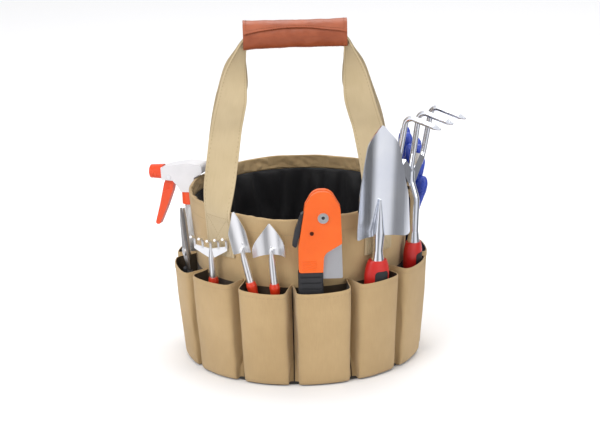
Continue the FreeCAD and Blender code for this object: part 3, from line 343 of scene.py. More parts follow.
def useGroup(tree, group, coords, **values):
    made = tree.nodes.new("ShaderNodeGroup")
    made.node_tree = group
    tree.links.new(coords, made.inputs["Vector"])
    for name, value in values.items():
        made.inputs[name].default_value = value
    return made.outputs


def shade(tree, mask, dark, light, low=0.3, high=0.7):
    # two colours mixed by a mask
    ramp = addNode(tree, "ShaderNodeValToRGB", {0: mask})
    for element, place, colour in zip(ramp.color_ramp.elements, (low, high), (dark, light)):
        element.position = place
        element.color = (*colour, 1)
    return ramp.outputs[0]


def spread(tree, mask, low, high):
    # a mask of 0.3 to 0.7 turned into a value between low and high
    limits = {"Value": mask, "From Min": 0.3, "From Max": 0.7, "To Min": low, "To Max": high}
    return addNode(tree, "ShaderNodeMapRange", limits).outputs[0]


def bump(tree, height, distance, strength=1.0, under=None):
    values = {"Height": height, "Strength": strength, "Distance": distance}
    if under:
        values["Normal"] = under
    return addNode(tree, "ShaderNodeBump", values).outputs[0]


def clothMaterial(name, dark, light, threads, depth, roughness=0.9, sheen=0.15, slub=0.5, patches=9.0):
    material, tree, shader, coords = startMaterial(name, Roughness=roughness, Sheen_Weight=sheen,
                                                   Sheen_Roughness=0.5, Specular_IOR_Level=0.25)
    woven = useGroup(tree, weave, coords["UV"], Threads=threads, Slub=slub)
    mottled = useGroup(tree, mottle, coords["Object"], Large=patches, Small=900.0)
    colour = shade(tree, mottled["Patches"], dark, light)
    slubs = shade(tree, woven["Shade"], (0.72, 0.70, 0.66), (1, 1, 1))
    tree.links.new(blendColours(tree, 0.2, colour, slubs, "MULTIPLY"), shader["Base Color"])
    fine = bump(tree, woven["Height"], depth)
    tree.links.new(bump(tree, mottled["Patches"], 0.0006, 0.6, fine), shader["Normal"])
    return material


def metalMaterial(name, dark, light, rough, fineness=500.0, depth=0.00004):
    material, tree, shader, coords = startMaterial(name, Metallic=1.0)
    mottled = useGroup(tree, mottle, coords["Object"], Large=14.0, Small=700.0)
    marks = useGroup(tree, brushMarks, coords["Object"], Fineness=fineness)["Marks"]
    tree.links.new(shade(tree, mottled["Patches"], dark, light), shader["Base Color"])
    tree.links.new(spread(tree, marks, *rough), shader["Roughness"])
    tree.links.new(bump(tree, marks, depth), shader["Normal"])
    return material


def plasticMaterial(name, dark, light, rough, depth=0.00008, grain=1400.0, patches=18.0, coat=0.0):
    material, tree, shader, coords = startMaterial(name, Coat_Weight=coat, Coat_Roughness=0.12)
    mottled = useGroup(tree, mottle, coords["Object"], Large=patches, Small=grain)
    tree.links.new(shade(tree, mottled["Patches"], dark, light), shader["Base Color"])
    tree.links.new(spread(tree, mottled["Patches"], *rough), shader["Roughness"])
    tree.links.new(bump(tree, mottled["Grain"], depth), shader["Normal"])
    return material


def leatherMaterial():
    material, tree, shader, coords = startMaterial("leather", Coat_Weight=0.15, Coat_Roughness=0.3)
    mottled = useGroup(tree, mottle, coords["Object"], Large=26.0, Small=420.0)
    cells = {"Vector": coords["Object"], "Scale": 520.0, "Randomness": 0.9}
    pebbles = addNode(tree, "ShaderNodeTexVoronoi", cells)
    colour = shade(tree, mottled["Patches"], (0.24, 0.050, 0.016), (0.40, 0.098, 0.034), 0.25, 0.75)
    tree.links.new(colour, shader["Base Color"])
    tree.links.new(spread(tree, mottled["Patches"], 0.36, 0.52), shader["Roughness"])
    creased = bump(tree, mottled["Grain"], 0.0003, 0.5)
    tree.links.new(bump(tree, pebbles.outputs["Distance"], 0.00025, 0.5, creased), shader["Normal"])
    return material


def frostedMaterial(name, colour, weight, rough):
    material, tree, shader, coords = startMaterial(name, Transmission_Weight=weight, IOR=1.45)
    mottled = useGroup(tree, mottle, coords["Object"], Large=22.0, Small=900.0)
    darker = tuple(0.93 * part for part in colour)
    tree.links.new(shade(tree, mottled["Patches"], darker, colour), shader["Base Color"])
    tree.links.new(spread(tree, mottled["Patches"], rough, rough + 0.12), shader["Roughness"])
    tree.links.new(bump(tree, mottled["Grain"], 0.00005), shader["Normal"])
    return material


# name, dark and light colour, threads per metre of cloth, depth of the weave in metres
canvas = clothMaterial("canvas", (0.46, 0.315, 0.155), (0.56, 0.395, 0.205), 9000.0, 0.00010)
facingCanvas = clothMaterial("facingCanvas", (0.42, 0.285, 0.14), (0.60, 0.43, 0.225), 9000.0, 0.00010)
# near-black canvas that paints shade: inside the pockets and on the wall behind them
paintedShadeCanvas = clothMaterial("paintedShadeCanvas", (0.045, 0.030, 0.016), (0.075, 0.05, 0.028), 9000.0, 0.00010)
webbing = clothMaterial("webbing", (0.52, 0.405, 0.235), (0.63, 0.505, 0.315), 4200.0, 0.00022, slub=0.3)
satin = clothMaterial("satin", (0.006, 0.006, 0.007), (0.013, 0.013, 0.015), 12000.0, 0.00003,
                      roughness=0.36, sheen=0.12)
coatedCloth = clothMaterial("coatedCloth", (0.05, 0.045, 0.04), (0.09, 0.08, 0.07), 7000.0, 0.00015,
                            roughness=0.7)
bindingTape = clothMaterial("bindingTape", (0.03, 0.028, 0.025), (0.06, 0.055, 0.05), 6000.0, 0.0002)
touchTape = clothMaterial("touchTape", (0.012, 0.012, 0.012), (0.035, 0.035, 0.035), 5000.0, 0.0004,
                          roughness=1.0, sheen=0.6)
thread = clothMaterial("thread", (0.33, 0.24, 0.13), (0.44, 0.33, 0.19), 8000.0, 0.0001)
leatherThread = clothMaterial("leatherThread", (0.20, 0.055, 0.02), (0.30, 0.09, 0.035), 8000.0, 0.0001)
leather = leatherMaterial()

# name, dark and light colour, lowest and highest roughness, fineness of the brush marks
castMetal = metalMaterial("castMetal", (0.80, 0.83, 0.91), (0.92, 0.94, 0.98), (0.12, 0.24), 260.0, 0.00005)
toolSteel = metalMaterial("toolSteel", (0.90, 0.90, 0.92), (0.97, 0.97, 0.98), (0.26, 0.42), 420.0)
sawSteel = metalMaterial("sawSteel", (0.68, 0.68, 0.70), (0.78, 0.78, 0.80), (0.42, 0.55), 700.0)
snipsSteel = metalMaterial("snipsSteel", (0.34, 0.33, 0.34), (0.52, 0.51, 0.51), (0.26, 0.44), 600.0)
darkPin = metalMaterial("darkPin", (0.10, 0.03, 0.02), (0.16, 0.05, 0.03), (0.4, 0.55), 900.0)
brightScrew = metalMaterial("brightScrew", (0.86, 0.86, 0.88), (0.95, 0.95, 0.96), (0.30, 0.42), 900.0)

# name, dark and light colour, lowest and highest roughness
redPlastic = plasticMaterial("redPlastic", (0.50, 0.012, 0.010), (0.62, 0.022, 0.014), (0.30, 0.42))
orangeRed = plasticMaterial("orangeRed", (0.56, 0.028, 0.007), (0.68, 0.045, 0.012), (0.26, 0.38), coat=0.1)
sawOrange = plasticMaterial("sawOrange", (0.76, 0.102, 0.003), (0.84, 0.130, 0.005), (0.34, 0.46),
                            depth=0.00016, grain=1800.0)
blackRubber = plasticMaterial("blackRubber", (0.014, 0.014, 0.016), (0.026, 0.026, 0.03), (0.55, 0.72),
                              depth=0.00015)
blackPlastic = plasticMaterial("blackPlastic", (0.02, 0.021, 0.025), (0.035, 0.036, 0.042), (0.36, 0.5))
greyPlastic = plasticMaterial("greyPlastic", (0.66, 0.65, 0.67), (0.76, 0.75, 0.77), (0.3, 0.42), coat=0.15)
sprayOrange = plasticMaterial("sprayOrange", (0.72, 0.052, 0.004), (0.82, 0.075, 0.007), (0.24, 0.36),
                              coat=0.1)
boardPlastic = plasticMaterial("boardPlastic", (0.10, 0.10, 0.10), (0.15, 0.15, 0.15), (0.6, 0.75))
gloveRubber = plasticMaterial("gloveRubber", (0.016, 0.045, 0.36), (0.030, 0.080, 0.55), (0.22, 0.42),
                              depth=0.00035, grain=420.0, patches=30.0, coat=0.35)
bottlePlastic = frostedMaterial("bottlePlastic", (0.90, 0.90, 0.90), 0.75, 0.28)
tubePlastic = frostedMaterial("tubePlastic", (0.92, 0.92, 0.92), 0.85, 0.10)
print("materials made")

# the nodes that keep their own shape
carriedOver = [
    (boardPlastic, ["base_board"]),
    (castMetal, ["trowel_head", "cultivator_head"]),
    (redPlastic, ["trowel_grip", "cultivator_grip"]),
    (blackRubber, ["trowel_pad", "cultivator_pad", "saw_rear_grip", "snips_front_grip", "snips_back_grip"]),
    (sawOrange, ["saw_front_scale", "saw_back_scale"]),
    (sawSteel, ["saw_blade", "saw_spacer"]),
    (brightScrew, ["saw_pivot_bolt", "saw_pivot_nut", "snips_pivot_screw", "spray_trigger_pin"]),
    (blackPlastic, ["saw_lock_lever"]),
    (darkPin, ["saw_lock_pin"]),
    (toolSteel, ["wide_trowel_head", "narrow_trowel_head", "rake_head"]),
    (orangeRed, ["wide_trowel_grip", "narrow_trowel_grip", "rake_grip"]),
    (snipsSteel, ["snips_front_blade", "snips_back_blade"]),
    (bottlePlastic, ["spray_bottle"]),
    (greyPlastic, ["spray_head"]),
    (tubePlastic, ["spray_dip_tube"]),
    (sprayOrange, ["spray_collar", "spray_trigger", "spray_nozzle"]),
]
for finish, members in carriedOver:
    for member in members:
        nodes[member].data.materials.clear()
        nodes[member].data.materials.append(finish)


# stitches

def makeStitches(name, spots, length, width, material, body="bag"):
    # spots are (place, direction, outward) for each stitch; one small rounded form is copied to each
    deselectAll()
    bpy.ops.mesh.primitive_uv_sphere_add(segments=8, ring_count=6, radius=1)
    form = bpy.context.object
    points = [vertex.co.copy() for vertex in form.data.vertices]
    faces = [tuple(face.vertices) for face in form.data.polygons]
    bpy.data.objects.remove(form)
    allPoints, allFaces = [], []
    for place, direction, outward in spots:
        way = direction.normalized()
        out = (outward - way * outward.dot(way)).normalized()
        side = way.cross(out)
        start = len(allPoints)
        for point in points:
            allPoints.append(place + way * (point.z * length / 2) + side * (point.x * width / 2)
                             + out * (point.y * width * 0.4))
        allFaces += [tuple(start + corner for corner in face) for face in faces]
    mesh = bpy.data.meshes.new(name)
    mesh.from_pydata(allPoints, [], allFaces)
    piece = bpy.data.objects.new(name, mesh)
    bpy.context.scene.collection.objects.link(piece)
    editAll(piece, bpy.ops.mesh.normals_make_consistent, inside=False)
    bpy.ops.object.shade_smooth()
    dress(piece, material)
    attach(piece, body)
    return piece


def stitchSpots(place, start, end, count, lift):
    # evenly spaced stitches on a surface given by place(share) -> (point, outward)
    spots = []
    stitch = (end - start) / count
    for number in range(count):
        share = start + (end - start) * (number + 0.5) / count
        point, outward = place(share)
        ahead = place(share + 0.2 * stitch)[0]
        spots.append((point + outward.normalized() * lift, ahead - point, outward))
    return spots


# canvas wall with its turned-in rim

# in the dictionaries below a plain length is in millimetres, one times mm in metres, and angles in degrees
wall = {"profile": [(148.7, 4.4), (145.4, 21), (142.0, 40), (141.9, 70), (141.9, 105), (142.1, 137),
                    (144.6, 170), (146.9, 200), (148.4, 221), (148.8, 228.4), (148.2, 230.6), (147.2, 230.9),
                    (146.3, 230.2), (146.0, 227), (145.7, 221), (145.4, 214.5)],
        "middle": 145.5 * mm, "sheetHeight": 251 * mm, "columns": 300, "rows": 84, "thickness": 1.0 * mm,
        # creases outside, puckers in the turned-in facing, which begins between two shares of the profile
        "crease": 0.9, "pucker": 4.4, "facing": (0.70, 0.78),
        # the rim wanders from the first height up; it droops in front and rises behind
        "upper": (150, 228), "rimWave": 1.5, "droop": 5.0, "rise": 1.6,
        # the facing's own canvas starts at one height, and below another the wall is painted with shade
        # behind the pockets
        "facingFrom": 205 * mm, "paintedShadeBelow": 133 * mm, "seamHeight": 209.0, "stitches": 250}


def rimRise(angle):
    turn = math.radians(angle)
    wave = wobble(1.3 * math.sin(turn), 1.3 * math.cos(turn), 0, 3)
    return wave + 0.7 * wobble(4 * math.sin(turn), 4 * math.cos(turn), 0, 4)


def rimSag(angle):
    # the handles hold the rim up, and between them it sinks at the front and stands a little at the back
    front = math.cos(math.radians(angle))
    return wall["droop"] * max(0, front) ** 4 - wall["rise"] * max(0, -front) ** 2


def wallPoint(angle, share):
    radius, height = along(wall["profile"], share)
    turn = math.radians(angle)
    x, y = math.sin(turn), math.cos(turn)
    inside = ease(share, *wall["facing"])
    upper = ease(height, *wall["upper"])
    creases = 0.5 + 0.5 * wobble(5 * x, 5 * y, height / 34, 1)
    fine = 0.5 + 0.5 * wobble(14 * x, 14 * y, height / 15 + 3 * angle / 360, 2)
    radius -= wall["crease"] * (creases + 0.4 * fine) * (1 - inside) * (0.35 + 0.65 * (1 - upper))
    pucker = abs(wobble(15 * x + height / 14, 15 * y, height / 16, 5))
    pucker += 0.5 * abs(wobble(34 * x, 34 * y, height / 9, 6))
    radius -= wall["pucker"] * pucker * inside
    height += (wall["rimWave"] * rimRise(angle) - rimSag(angle)) * upper
    radius += 0.8 * rimRise(angle + 40) * upper
    return onRing(angle, radius * mm, height * mm)


def makeWall():
    rounds = 2 * math.pi * wall["middle"]
    sheetHeight = wall["sheetHeight"]
    piece = clothSheet("canvasWall", wall["columns"], wall["rows"], (rounds, sheetHeight),
                       lambda u, w: wallPoint(360 * u, w), wall["thickness"])
    dress(piece, canvas)
    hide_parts("canvas_wall", "rim_facing")
    piece.data.materials.append(facingCanvas)
    piece.data.materials.append(paintedShadeCanvas)
    # the rim's inner facing gets its own canvas, and the wall's faces low down get the near-black canvas as
    # painted shade behind the pockets
    for face in piece.data.polygons:
        outwards = face.normal.dot(Vector((face.center.x, face.center.y, 0)))
        if face.center.z > wall["facingFrom"] and outwards < 0:
            face.material_index = 1
        elif face.center.z < wall["paintedShadeBelow"]:
            face.material_index = 2

    def seam(share):
        angle = 360 * share
        height = wall["seamHeight"] + 1.2 * rimRise(angle) - 0.8 * rimSag(angle)
        low, high = wallPoint(angle, 0.50), wallPoint(angle, 0.54)
        level = (height * mm - low.z) / (high.z - low.z)
        point = low.lerp(high, level)
        return point, Vector((point.x, point.y, 0))
    spots = stitchSpots(seam, 0, 1, wall["stitches"], 0.0001)
    makeStitches("rimStitches", spots, 2.7 * mm, 0.75 * mm, thread)


makeWall()
print("wall made")


# lining

lining = {"profile": [(144.2, 8.2), (141.5, 24), (138.8, 42), (138.8, 90), (139.0, 137), (141.4, 172),
                      (142.8, 200), (143.6, 213.0)],
          "middle": 141.5 * mm, "sheetHeight": 205 * mm, "columns": 260, "rows": 44, "thickness": 0.5 * mm,
          "fold": 8.0, "floorRadius": 142.4, "floorHeight": 6.0, "floorCreases": 0.9,
          "floorColumns": 96, "floorRows": 30}


def liningPoint(angle, share):
    radius, height = along(lining["profile"], share)
    turn = math.radians(angle)
    x, y = math.sin(turn), math.cos(turn)
    slack = math.sin(math.pi * clamp(share)) ** 0.6
    folds = abs(wobble(6 * x, 6 * y, height / 110, 11)) * 1.5
    folds += 0.5 * abs(wobble(13 * x, 13 * y, height / 45, 12))
    slanted = 0.35 * abs(wobble(8 * x + height / 60, 8 * y, 0, 13))
    radius -= lining["fold"] * (folds + slanted) * slack
    height -= rimSag(angle) * ease(height, 150, 210)
    return onRing(angle, radius * mm, height * mm)


def makeLining():
    rounds = 2 * math.pi * lining["middle"]
    sheetHeight = lining["sheetHeight"]
    piece = clothSheet("liningWall", lining["columns"], lining["rows"], (rounds, sheetHeight),
                       lambda u, w: liningPoint(360 * u, w), lining["thickness"])
    dress(piece, satin)
    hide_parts("lining_wall")

    def floorPoint(u, w):
        angle, radius = 360 * u, lining["floorRadius"] * w
        spot = onRing(angle, radius * mm, 0)
        rise = lining["floorCreases"] * abs(wobble(spot.x * 30, spot.y * 30, 0, 14)) * math.sin(math.pi * w)
        return Vector((spot.x, spot.y, (lining["floorHeight"] + rise) * mm))
    across = 2 * lining["floorRadius"] * mm
    floor = clothSheet("liningFloor", lining["floorColumns"], lining["floorRows"], (across, across),
                       floorPoint, lining["thickness"])
    dress(floor, satin)
    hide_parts("lining_floor")


makeLining()
print("lining made")


# base

base = {"radius": 147.5, "height": 1.5, "thickness": 1.3 * mm, "columns": 96, "rows": 24, "creases": 0.25,
        "bindingRadius": 150.0, "bindingHalf": 1.95, "bindingHeight": 2.0, "bindingTape": 12.2 * mm,
        "bindingColumns": 720, "bindingRows": 14, "ribs": 170, "rib": 0.12, "lump": 0.15}


def makeBase():
    def clothPoint(u, w):
        spot = onRing(360 * u, base["radius"] * w * mm, 0)
        lift = base["creases"] * abs(wobble(spot.x * 40, spot.y * 40, 0, 21))
        lift *= math.sin(math.pi * clamp(w * 1.05))
        return Vector((spot.x, spot.y, (base["height"] + lift) * mm))
    across = 2 * base["radius"] * mm
    cloth = clothSheet("baseCloth", base["columns"], base["rows"], (across, across), clothPoint,
                       base["thickness"])
    dress(cloth, coatedCloth)
    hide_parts("base_cloth")

    def tapePoint(u, w):
        # the tape's section is a small circle, ribbed and a little lumpy except underneath
        turn = 2 * math.pi * w
        angle = 360 * u
        x, y = math.sin(math.radians(angle)), math.cos(math.radians(angle))
        lump = base["rib"] * math.sin(math.radians(angle) * base["ribs"])
        lump += base["lump"] * wobble(9 * x, 9 * y, 0, 22)
        if math.sin(turn) <= -0.5:
            lump = 0
        out = (base["bindingHalf"] - 0.15 + lump) * math.cos(turn)
        up = base["bindingHalf"] * math.sin(turn)
        return onRing(angle, (base["bindingRadius"] + out) * mm, (base["bindingHeight"] + up) * mm)
    rounds = 2 * math.pi * base["bindingRadius"] * mm
    tape = clothSheet("baseBinding", base["bindingColumns"], base["bindingRows"],
                      (rounds, base["bindingTape"]), tapePoint, 0)
    editAll(tape, bpy.ops.mesh.normals_make_consistent, inside=False)
    dress(tape, bindingTape)
    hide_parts("base_binding")


makeBase()
print("base made")


# pockets

pocket = {"seams": [-5, 25, 51.5, 83, 115, 145, 175, 205, 235, 266, 298.5, 328, 355], "seamGap": 0.3,
          "clothWide": 122 * mm, "clothHigh": 134 * mm, "columns": 76, "rows": 64, "thickness": 1.1 * mm,
          # radius of the front at foot and mouth, and of the wall behind it
          "foot": 160.5, "mouth": 172.0, "wall": 142.5, "wallFoot": 5.6, "hem": 134.0, "low": 2.0,
          # how far each pocket's hem stands above or below the others, and how much it slopes
          "lift": [0.0, 5.0, 6.0, 3.0, 0, 1.0, -0.8, 0.6, 1.0, 0.5, 4.0, 0.0],
          "slope": [1.5, 0.0, -4.0, -1.0, 0.5, -0.6, 0.4, 0, 0.6, 0.5, 1.0, -1.8],
          # the hem dips in the middle and rises to its corners; the front bellies and creases
          "hemDip": 2.6, "hemCorner": 5.0, "belly": 1.1, "crease": 1.15, "wander": 0.018,
          "tuckHeight": 31, "tuckDepth": 0.50, "tuckIn": 0.045, "slantDepth": 0.22, "foldHeight": 62,
          "hemFold": 7.0, "hemThick": 0.35, "stitches": 25,
          # share of the half angle and of the depth, from the middle of the front to the seam on the wall
          "section": [(0.0, 1.0), (0.29, 0.998), (0.56, 0.98), (0.76, 0.93), (0.86, 0.80), (0.90, 0.54),
                      (0.94, 0.27), (1.0, 0.0)]}


def pocketPoint(number, u, w):
    # u goes across the pocket from seam to seam, w from its foot to its hem
    side = 2 * u - 1
    away = abs(side)
    share, depth = along(pocket["section"], away)
    hem, low = pocket["hem"], pocket["low"]
    hemHeight = hem - pocket["hemDip"] + pocket["hemCorner"] * away ** 2.4
    hemHeight += 1.0 * wobble(side * 1.4, number, 0, 31)
    hemHeight += pocket["lift"][number] * (1 - 0.6 * away ** 2) + pocket["slope"][number] * side
    height = low + (hemHeight - low) * w
    front = pocket["foot"] + (pocket["mouth"] - pocket["foot"]) * (height - low) / (hem - low)
    back = pocket["wall"] + pocket["wallFoot"] * (1 - ease(height, 4, 40))
    # the front bellies a little, and its upright edges wander
    bell = pocket["belly"] * math.sin(math.pi * w) * (1 - away ** 2)
    wandering = wobble(0, height / 40, number * 2.3, 32) * ease(away, 0.2, 0.8)
    share += pocket["wander"] * wandering * (1 - ease(away, 0.93, 1.0))
    # at the foot the sides are drawn in and tucked in a pleat beside each seam
    beforeSeam = 1 - ease(away, 0.80, 1.0)
    tuckEnd = pocket["tuckHeight"] + 12 * wobble(number, side, 0, 33)
    tuck = (1 - ease(height, low + 4, tuckEnd)) * ease(away, 0.52, 0.66)
    depth *= 1 - pocket["tuckDepth"] * tuck * beforeSeam
    share -= pocket["tuckIn"] * tuck * beforeSeam
    slantFold = math.exp(-((height - 20 - 46 * (away - 0.72)) / 5.5) ** 2)
    slantFold *= ease(away, 0.60, 0.8) * (1 - ease(away, 0.9, 0.99))
    depth -= pocket["slantDepth"] * slantFold * (0.6 + 0.9 * abs(wobble(number * 5.1, side, 0, 34)))
    # one side is folded in over the middle of its height
    foldMiddle = pocket["foldHeight"] + 26 * wobble(number * 1.7, side, 0, 37)
    folded = math.exp(-((height - foldMiddle) / 26) ** 2) * ease(away, 0.50, 0.66)
    share -= (0.035 + 0.045 * wobble(number * 2.9, side, 0, 38)) * folded * beforeSeam
    radius = back + (front - back) * clamp(depth, 0, 1.05) + bell
    # soft creases that run down from the corners of the mouth
    crease = wobble(side * 3.1 + height / 70, height / 42, number * 3.7, 35)
    crease += 0.45 * wobble(side * 7, height / 17, number * 3.7, 36)
    radius += pocket["crease"] * crease * depth * (0.35 + 0.65 * away)
    # the hem is folded double, and its edge is rounded
    if height > hemHeight - pocket["hemFold"]:
        radius += pocket["hemThick"]
    radius -= 0.9 * ease(w, 0.985, 1.0) ** 2
    # the foot turns under the bag
    under = 1 - ease(height, low, low + 5)
    radius -= 2.2 * under ** 2 * depth
    start = pocket["seams"][number] + pocket["seamGap"]
    half = (pocket["seams"][number + 1] - pocket["seamGap"] - start) / 2
    lean = 0.18 * wobble(number * 1.9, 0.4, 0.7) * (1 - away)
    angle = start + half + half * share * (1 if side > 0 else -1) + lean
    return onRing(angle, radius * mm, height * mm)


def paintShadeInside(piece):
    # painted shade inside the pocket: the faces of the sheet's inner copy, which come after the outer ones,
    # get the near-black canvas
    piece.data.materials.append(paintedShadeCanvas)
    count = pocket["columns"] * pocket["rows"]
    for face in piece.data.polygons[count:2 * count]:
        face.material_index = 1


def makePockets():
    clothWide, clothHigh = pocket["clothWide"], pocket["clothHigh"]
    for number in range(12):
        name = f"pocket{number + 1:02d}"
        piece = clothSheet(name, pocket["columns"], pocket["rows"], (clothWide, clothHigh),
                           lambda u, w: pocketPoint(number, u, w), pocket["thickness"])
        dress(piece, canvas)
        paintShadeInside(piece)
        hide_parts(f"pocket_{number + 1:02d}")

        def hemLine(share):
            level = 1 - (pocket["hemFold"] - 0.6) / (pocket["hem"] - pocket["low"])
            point = pocketPoint(number, share, level)
            ahead = pocketPoint(number, share + 0.004, level)
            above = pocketPoint(number, share, level + 0.01)
            return point, (ahead - point).cross(above - point)
        spots = stitchSpots(hemLine, 0.10, 0.90, pocket["stitches"], 0.12 * mm)
        makeStitches(f"hemStitches{number + 1:02d}", spots, 2.5 * mm, 0.65 * mm, thread)


makePockets()
print("pockets made")


# webbing handles

strap = {"width": 50.0, "thickness": 2.1, "columns": 20, "rows": 120,
         # heights of the sewn foot's lower edge and of the rim, and the wall's radius at the rim
         "foot": 166.0, "rim": 230.0, "wallTop": 150.4, "slope": 0.0761,
         # angle of the left and right feet from the front, and how far apart the straps enter the grip
         "spread": {-1: 46.5, 1: 44.8}, "reach": 69.0, "top": 437.0, "draw": {-1: 0.0, 1: 3.5},
         # where the side seams run, a stitch's size and spacing, and its height over the sheet's middle
         "seams": (0.075, 0.925), "stitchLong": 2.6, "stitchWide": 0.7, "stitchStep": 3.6,
         "stitchLift": 1.1 * mm}


def strapStations(side, hand):
    # (middle x, y, z, across x, y, z, half width, curl) from the sewn foot up to the grip
    spread = strap["spread"][hand]
    angle = hand * spread if side < 0 else 180 - hand * spread
    stations = []
    tangent = onRing(angle + 90, 1, 0)
    if tangent.x < 0:
        tangent = -tangent
    for height in (strap["foot"], 187.0, 209.0, strap["rim"] + 1):
        radius = strap["wallTop"] - strap["slope"] * (strap["rim"] - min(height, strap["rim"]))
        middle = onRing(angle, radius, height)
        stations.append((*middle, *tangent, strap["width"] / 2, -2.05))
    reach, top, half = strap["reach"], strap["top"], strap["width"] / 2
    slant = 0.25 * side * hand
    draw = strap["draw"][hand]
    # middle of the strap, direction across it, half its width and its curl
    rim = strap["rim"]
    free = [((hand * (reach + 33.0), side * 84, rim + 44), (1, -slant, 0), half * 0.86, -0.8),
            ((hand * (reach + 26 - 0.3 * draw), side * 62, rim + 88), (1, 0.6 * slant, 0), half * 0.84, 0.6),
            ((hand * (reach + 21.5 - 0.8 * draw), side * 52, top - 97), (1, slant / 2, 0), half * 0.83, 1.6),
            ((hand * (reach + 16.5 - draw), side * 42, top - 76), (1, 0, 0), half * 0.79, 2.4),
            ((hand * (reach + 11.5 - draw), side * 25, top - 48), (1, 0, 0.25 * hand), half * 0.60, 4.2),
            ((hand * (reach + 4.5 - 0.7 * draw), side * 8, top - 26), (0.8, 0, 0.6 * hand), half * 0.36, 3.0),
            ((hand * (reach - 4), side * 3.0, top - 8), (0.3, 0, hand), half * 0.24, 1.2),
            ((hand * (reach - 20), side * 3.0, top - 2), (0.1, 0, hand), half * 0.24, 0.8)]
    for middle, across, wide, curl in free:
        across = Vector(across).normalized()
        stations.append((*middle, *across, wide, curl))
    return stations


def strapPoint(stations, side, hand, u, w):
    x, y, z, ax, ay, az, half, curl = along(stations, w)
    across = Vector((ax, ay, az)).normalized()
    through = (Vector((0, side, 0)) - across * (side * across.y)).normalized()
    s = 2 * u - 1
    ripple = 0.5 * wobble(w * 7, s * 1.5, side * 2 + hand, 41) * ease(w, 0.34, 0.5)
    middle = Vector((x, y, z))
    place = middle + across * (half * s) + through * (curl * s * s + ripple)
    return place * mm


def strapStitches(place, side, length):
    # a row along each edge, two rows across the sewn foot and a cross between them
    spots = []
    for edge in strap["seams"]:
        def edgeLine(share, edge=edge):
            spot = place(edge, share)
            out = (place(edge + 0.02, share) - spot).cross(place(edge, share + 0.01) - spot)
            return spot, out if out.y * side > 0 else -out
        count = int(length * 0.9 / strap["stitchStep"])
        spots += stitchSpots(edgeLine, 0.012, 0.9, count, strap["stitchLift"])

    def footLine(start, end, lowest, highest, count):
        def line(share):
            spot = place(start[0] + (end[0] - start[0]) * share, start[1] + (end[1] - start[1]) * share)
            return spot, Vector((spot.x, spot.y, 0))
        return stitchSpots(line, lowest, highest, count, strap["stitchLift"])
    for level in (0.012, 0.235):
        spots += footLine((0, level), (1, level), 0.10, 0.90, 11)
    for left, right in ((0.1, 0.9), (0.9, 0.1)):
        spots += footLine((left, 0.02), (right, 0.23), 0.02, 0.98, 17)
    return spots


def makeStrap(label, side, hand):
    stations = strapStations(side, hand)
    length = sum((Vector(a[:3]) - Vector(b[:3])).length for a, b in zip(stations, stations[1:]))

    def place(u, w):
        return strapPoint(stations, side, hand, 1 - u if side > 0 else u, w)
    wide = strap["width"] * mm
    piece = clothSheet(label, strap["columns"], strap["rows"], (wide, length * mm), place,
                       strap["thickness"] * mm, offset=0.0)
    piece.parent = None
    bevel(piece, 0.55 * mm)
    smooth(piece, 50)
    dress(piece, webbing)
    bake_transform(piece)
    seams = makeStitches(label + "Stitches", strapStitches(place, side, length), strap["stitchLong"] * mm,
                         strap["stitchWide"] * mm, thread)
    seams.parent = None
    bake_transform(seams)
    return piece


def makeStraps():
    for side, name, node in ((-1, "frontHandle", "front_handle"), (1, "rearHandle", "rear_handle")):
        left = makeStrap(name + "Left", side, -1)
        makeStrap(name + "Right", side, 1)
        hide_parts(node)


makeStraps()
print("straps made")


# leather grip

grip = {"half": 69.0, "height": 437.0, "tall": 17.0, "deep": 12.5, "gap": 1.8, "leather": 2.2,
        "columns": 110, "rows": 72, "flapRows": 40, "rollRadius": 14.8 * mm, "flapRadius": 18.2 * mm,
        # angles round the roll from the front over the top, for the flap's bowed edge and seam and the tapes
        "flapStart": 13.0, "flapBow": 26.0, "flapEnd": 128.0, "tapeStart": 45.0, "tapeEnd": 84.0,
        "tapeHalf": 56, "tapeLong": 112 * mm, "tapeRadius": 16.5 * mm, "tapeThickness": 0.45 * mm,
        # name, node, body, offset from the roll, ripple and the piece that each tape is sewn to
        "tapes": [("loopTape", "loop_strip", "carry_grip", 0.75, 1, "gripRoll"),
                  ("hookTape", "hook_strip", "grip_flap", 1.55, 2, "gripFlap")]}


def gripPoint(x, angle, offset, seed):
    # angle runs from the front over the top; the leather is creased and sags a little between the straps
    turn = math.radians(angle)
    deep, tall = grip["deep"] + offset, grip["tall"] + offset
    lean = x / grip["half"]
    ripple = 0.55 * wobble(x / 16, angle / 50, seed, 51) + 0.28 * wobble(x / 6, angle / 22, seed, 52)
    deep += min(0.35, ripple)
    tall += min(0.35, ripple)
    low = ease(-math.sin(turn), 0.0, 0.9)
    sag = low * (1.2 * wobble(x / 26, 0, seed, 53) + 3.0 * math.exp(-(x + grip["half"]) / 16))
    ends = 0.9 * lean ** 8 * ease(math.sin(turn), 0.2, 1)
    return Vector((x, -deep * math.cos(turn), grip["height"] + tall * math.sin(turn) - sag + ends)) * mm


def flapPoint(u, w):
    x = (2 * u - 1) * grip["half"]
    edge = grip["flapStart"] + 3.0 * wobble(x / 26, 0, 0, 55) + grip["flapBow"] * math.sin(math.pi * u) ** 0.8
    lift = 0.28 * (1 - ease(w, 0.0, 0.12))
    return gripPoint(x, edge + (grip["flapEnd"] - edge) * w, grip["gap"] + grip["leather"] - 0.3 + lift, 2)


def makeRoll():
    half = grip["half"]
    rounds = 2 * math.pi * grip["rollRadius"]
    roll = clothSheet("gripRoll", grip["columns"], grip["rows"], (2 * half * mm, rounds),
                      lambda u, w: gripPoint((2 * u - 1) * half, 360 * w, -0.25, 1),
                      grip["leather"] * mm, "carry_grip")
    dress(roll, leather)
    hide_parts("grip_roll")


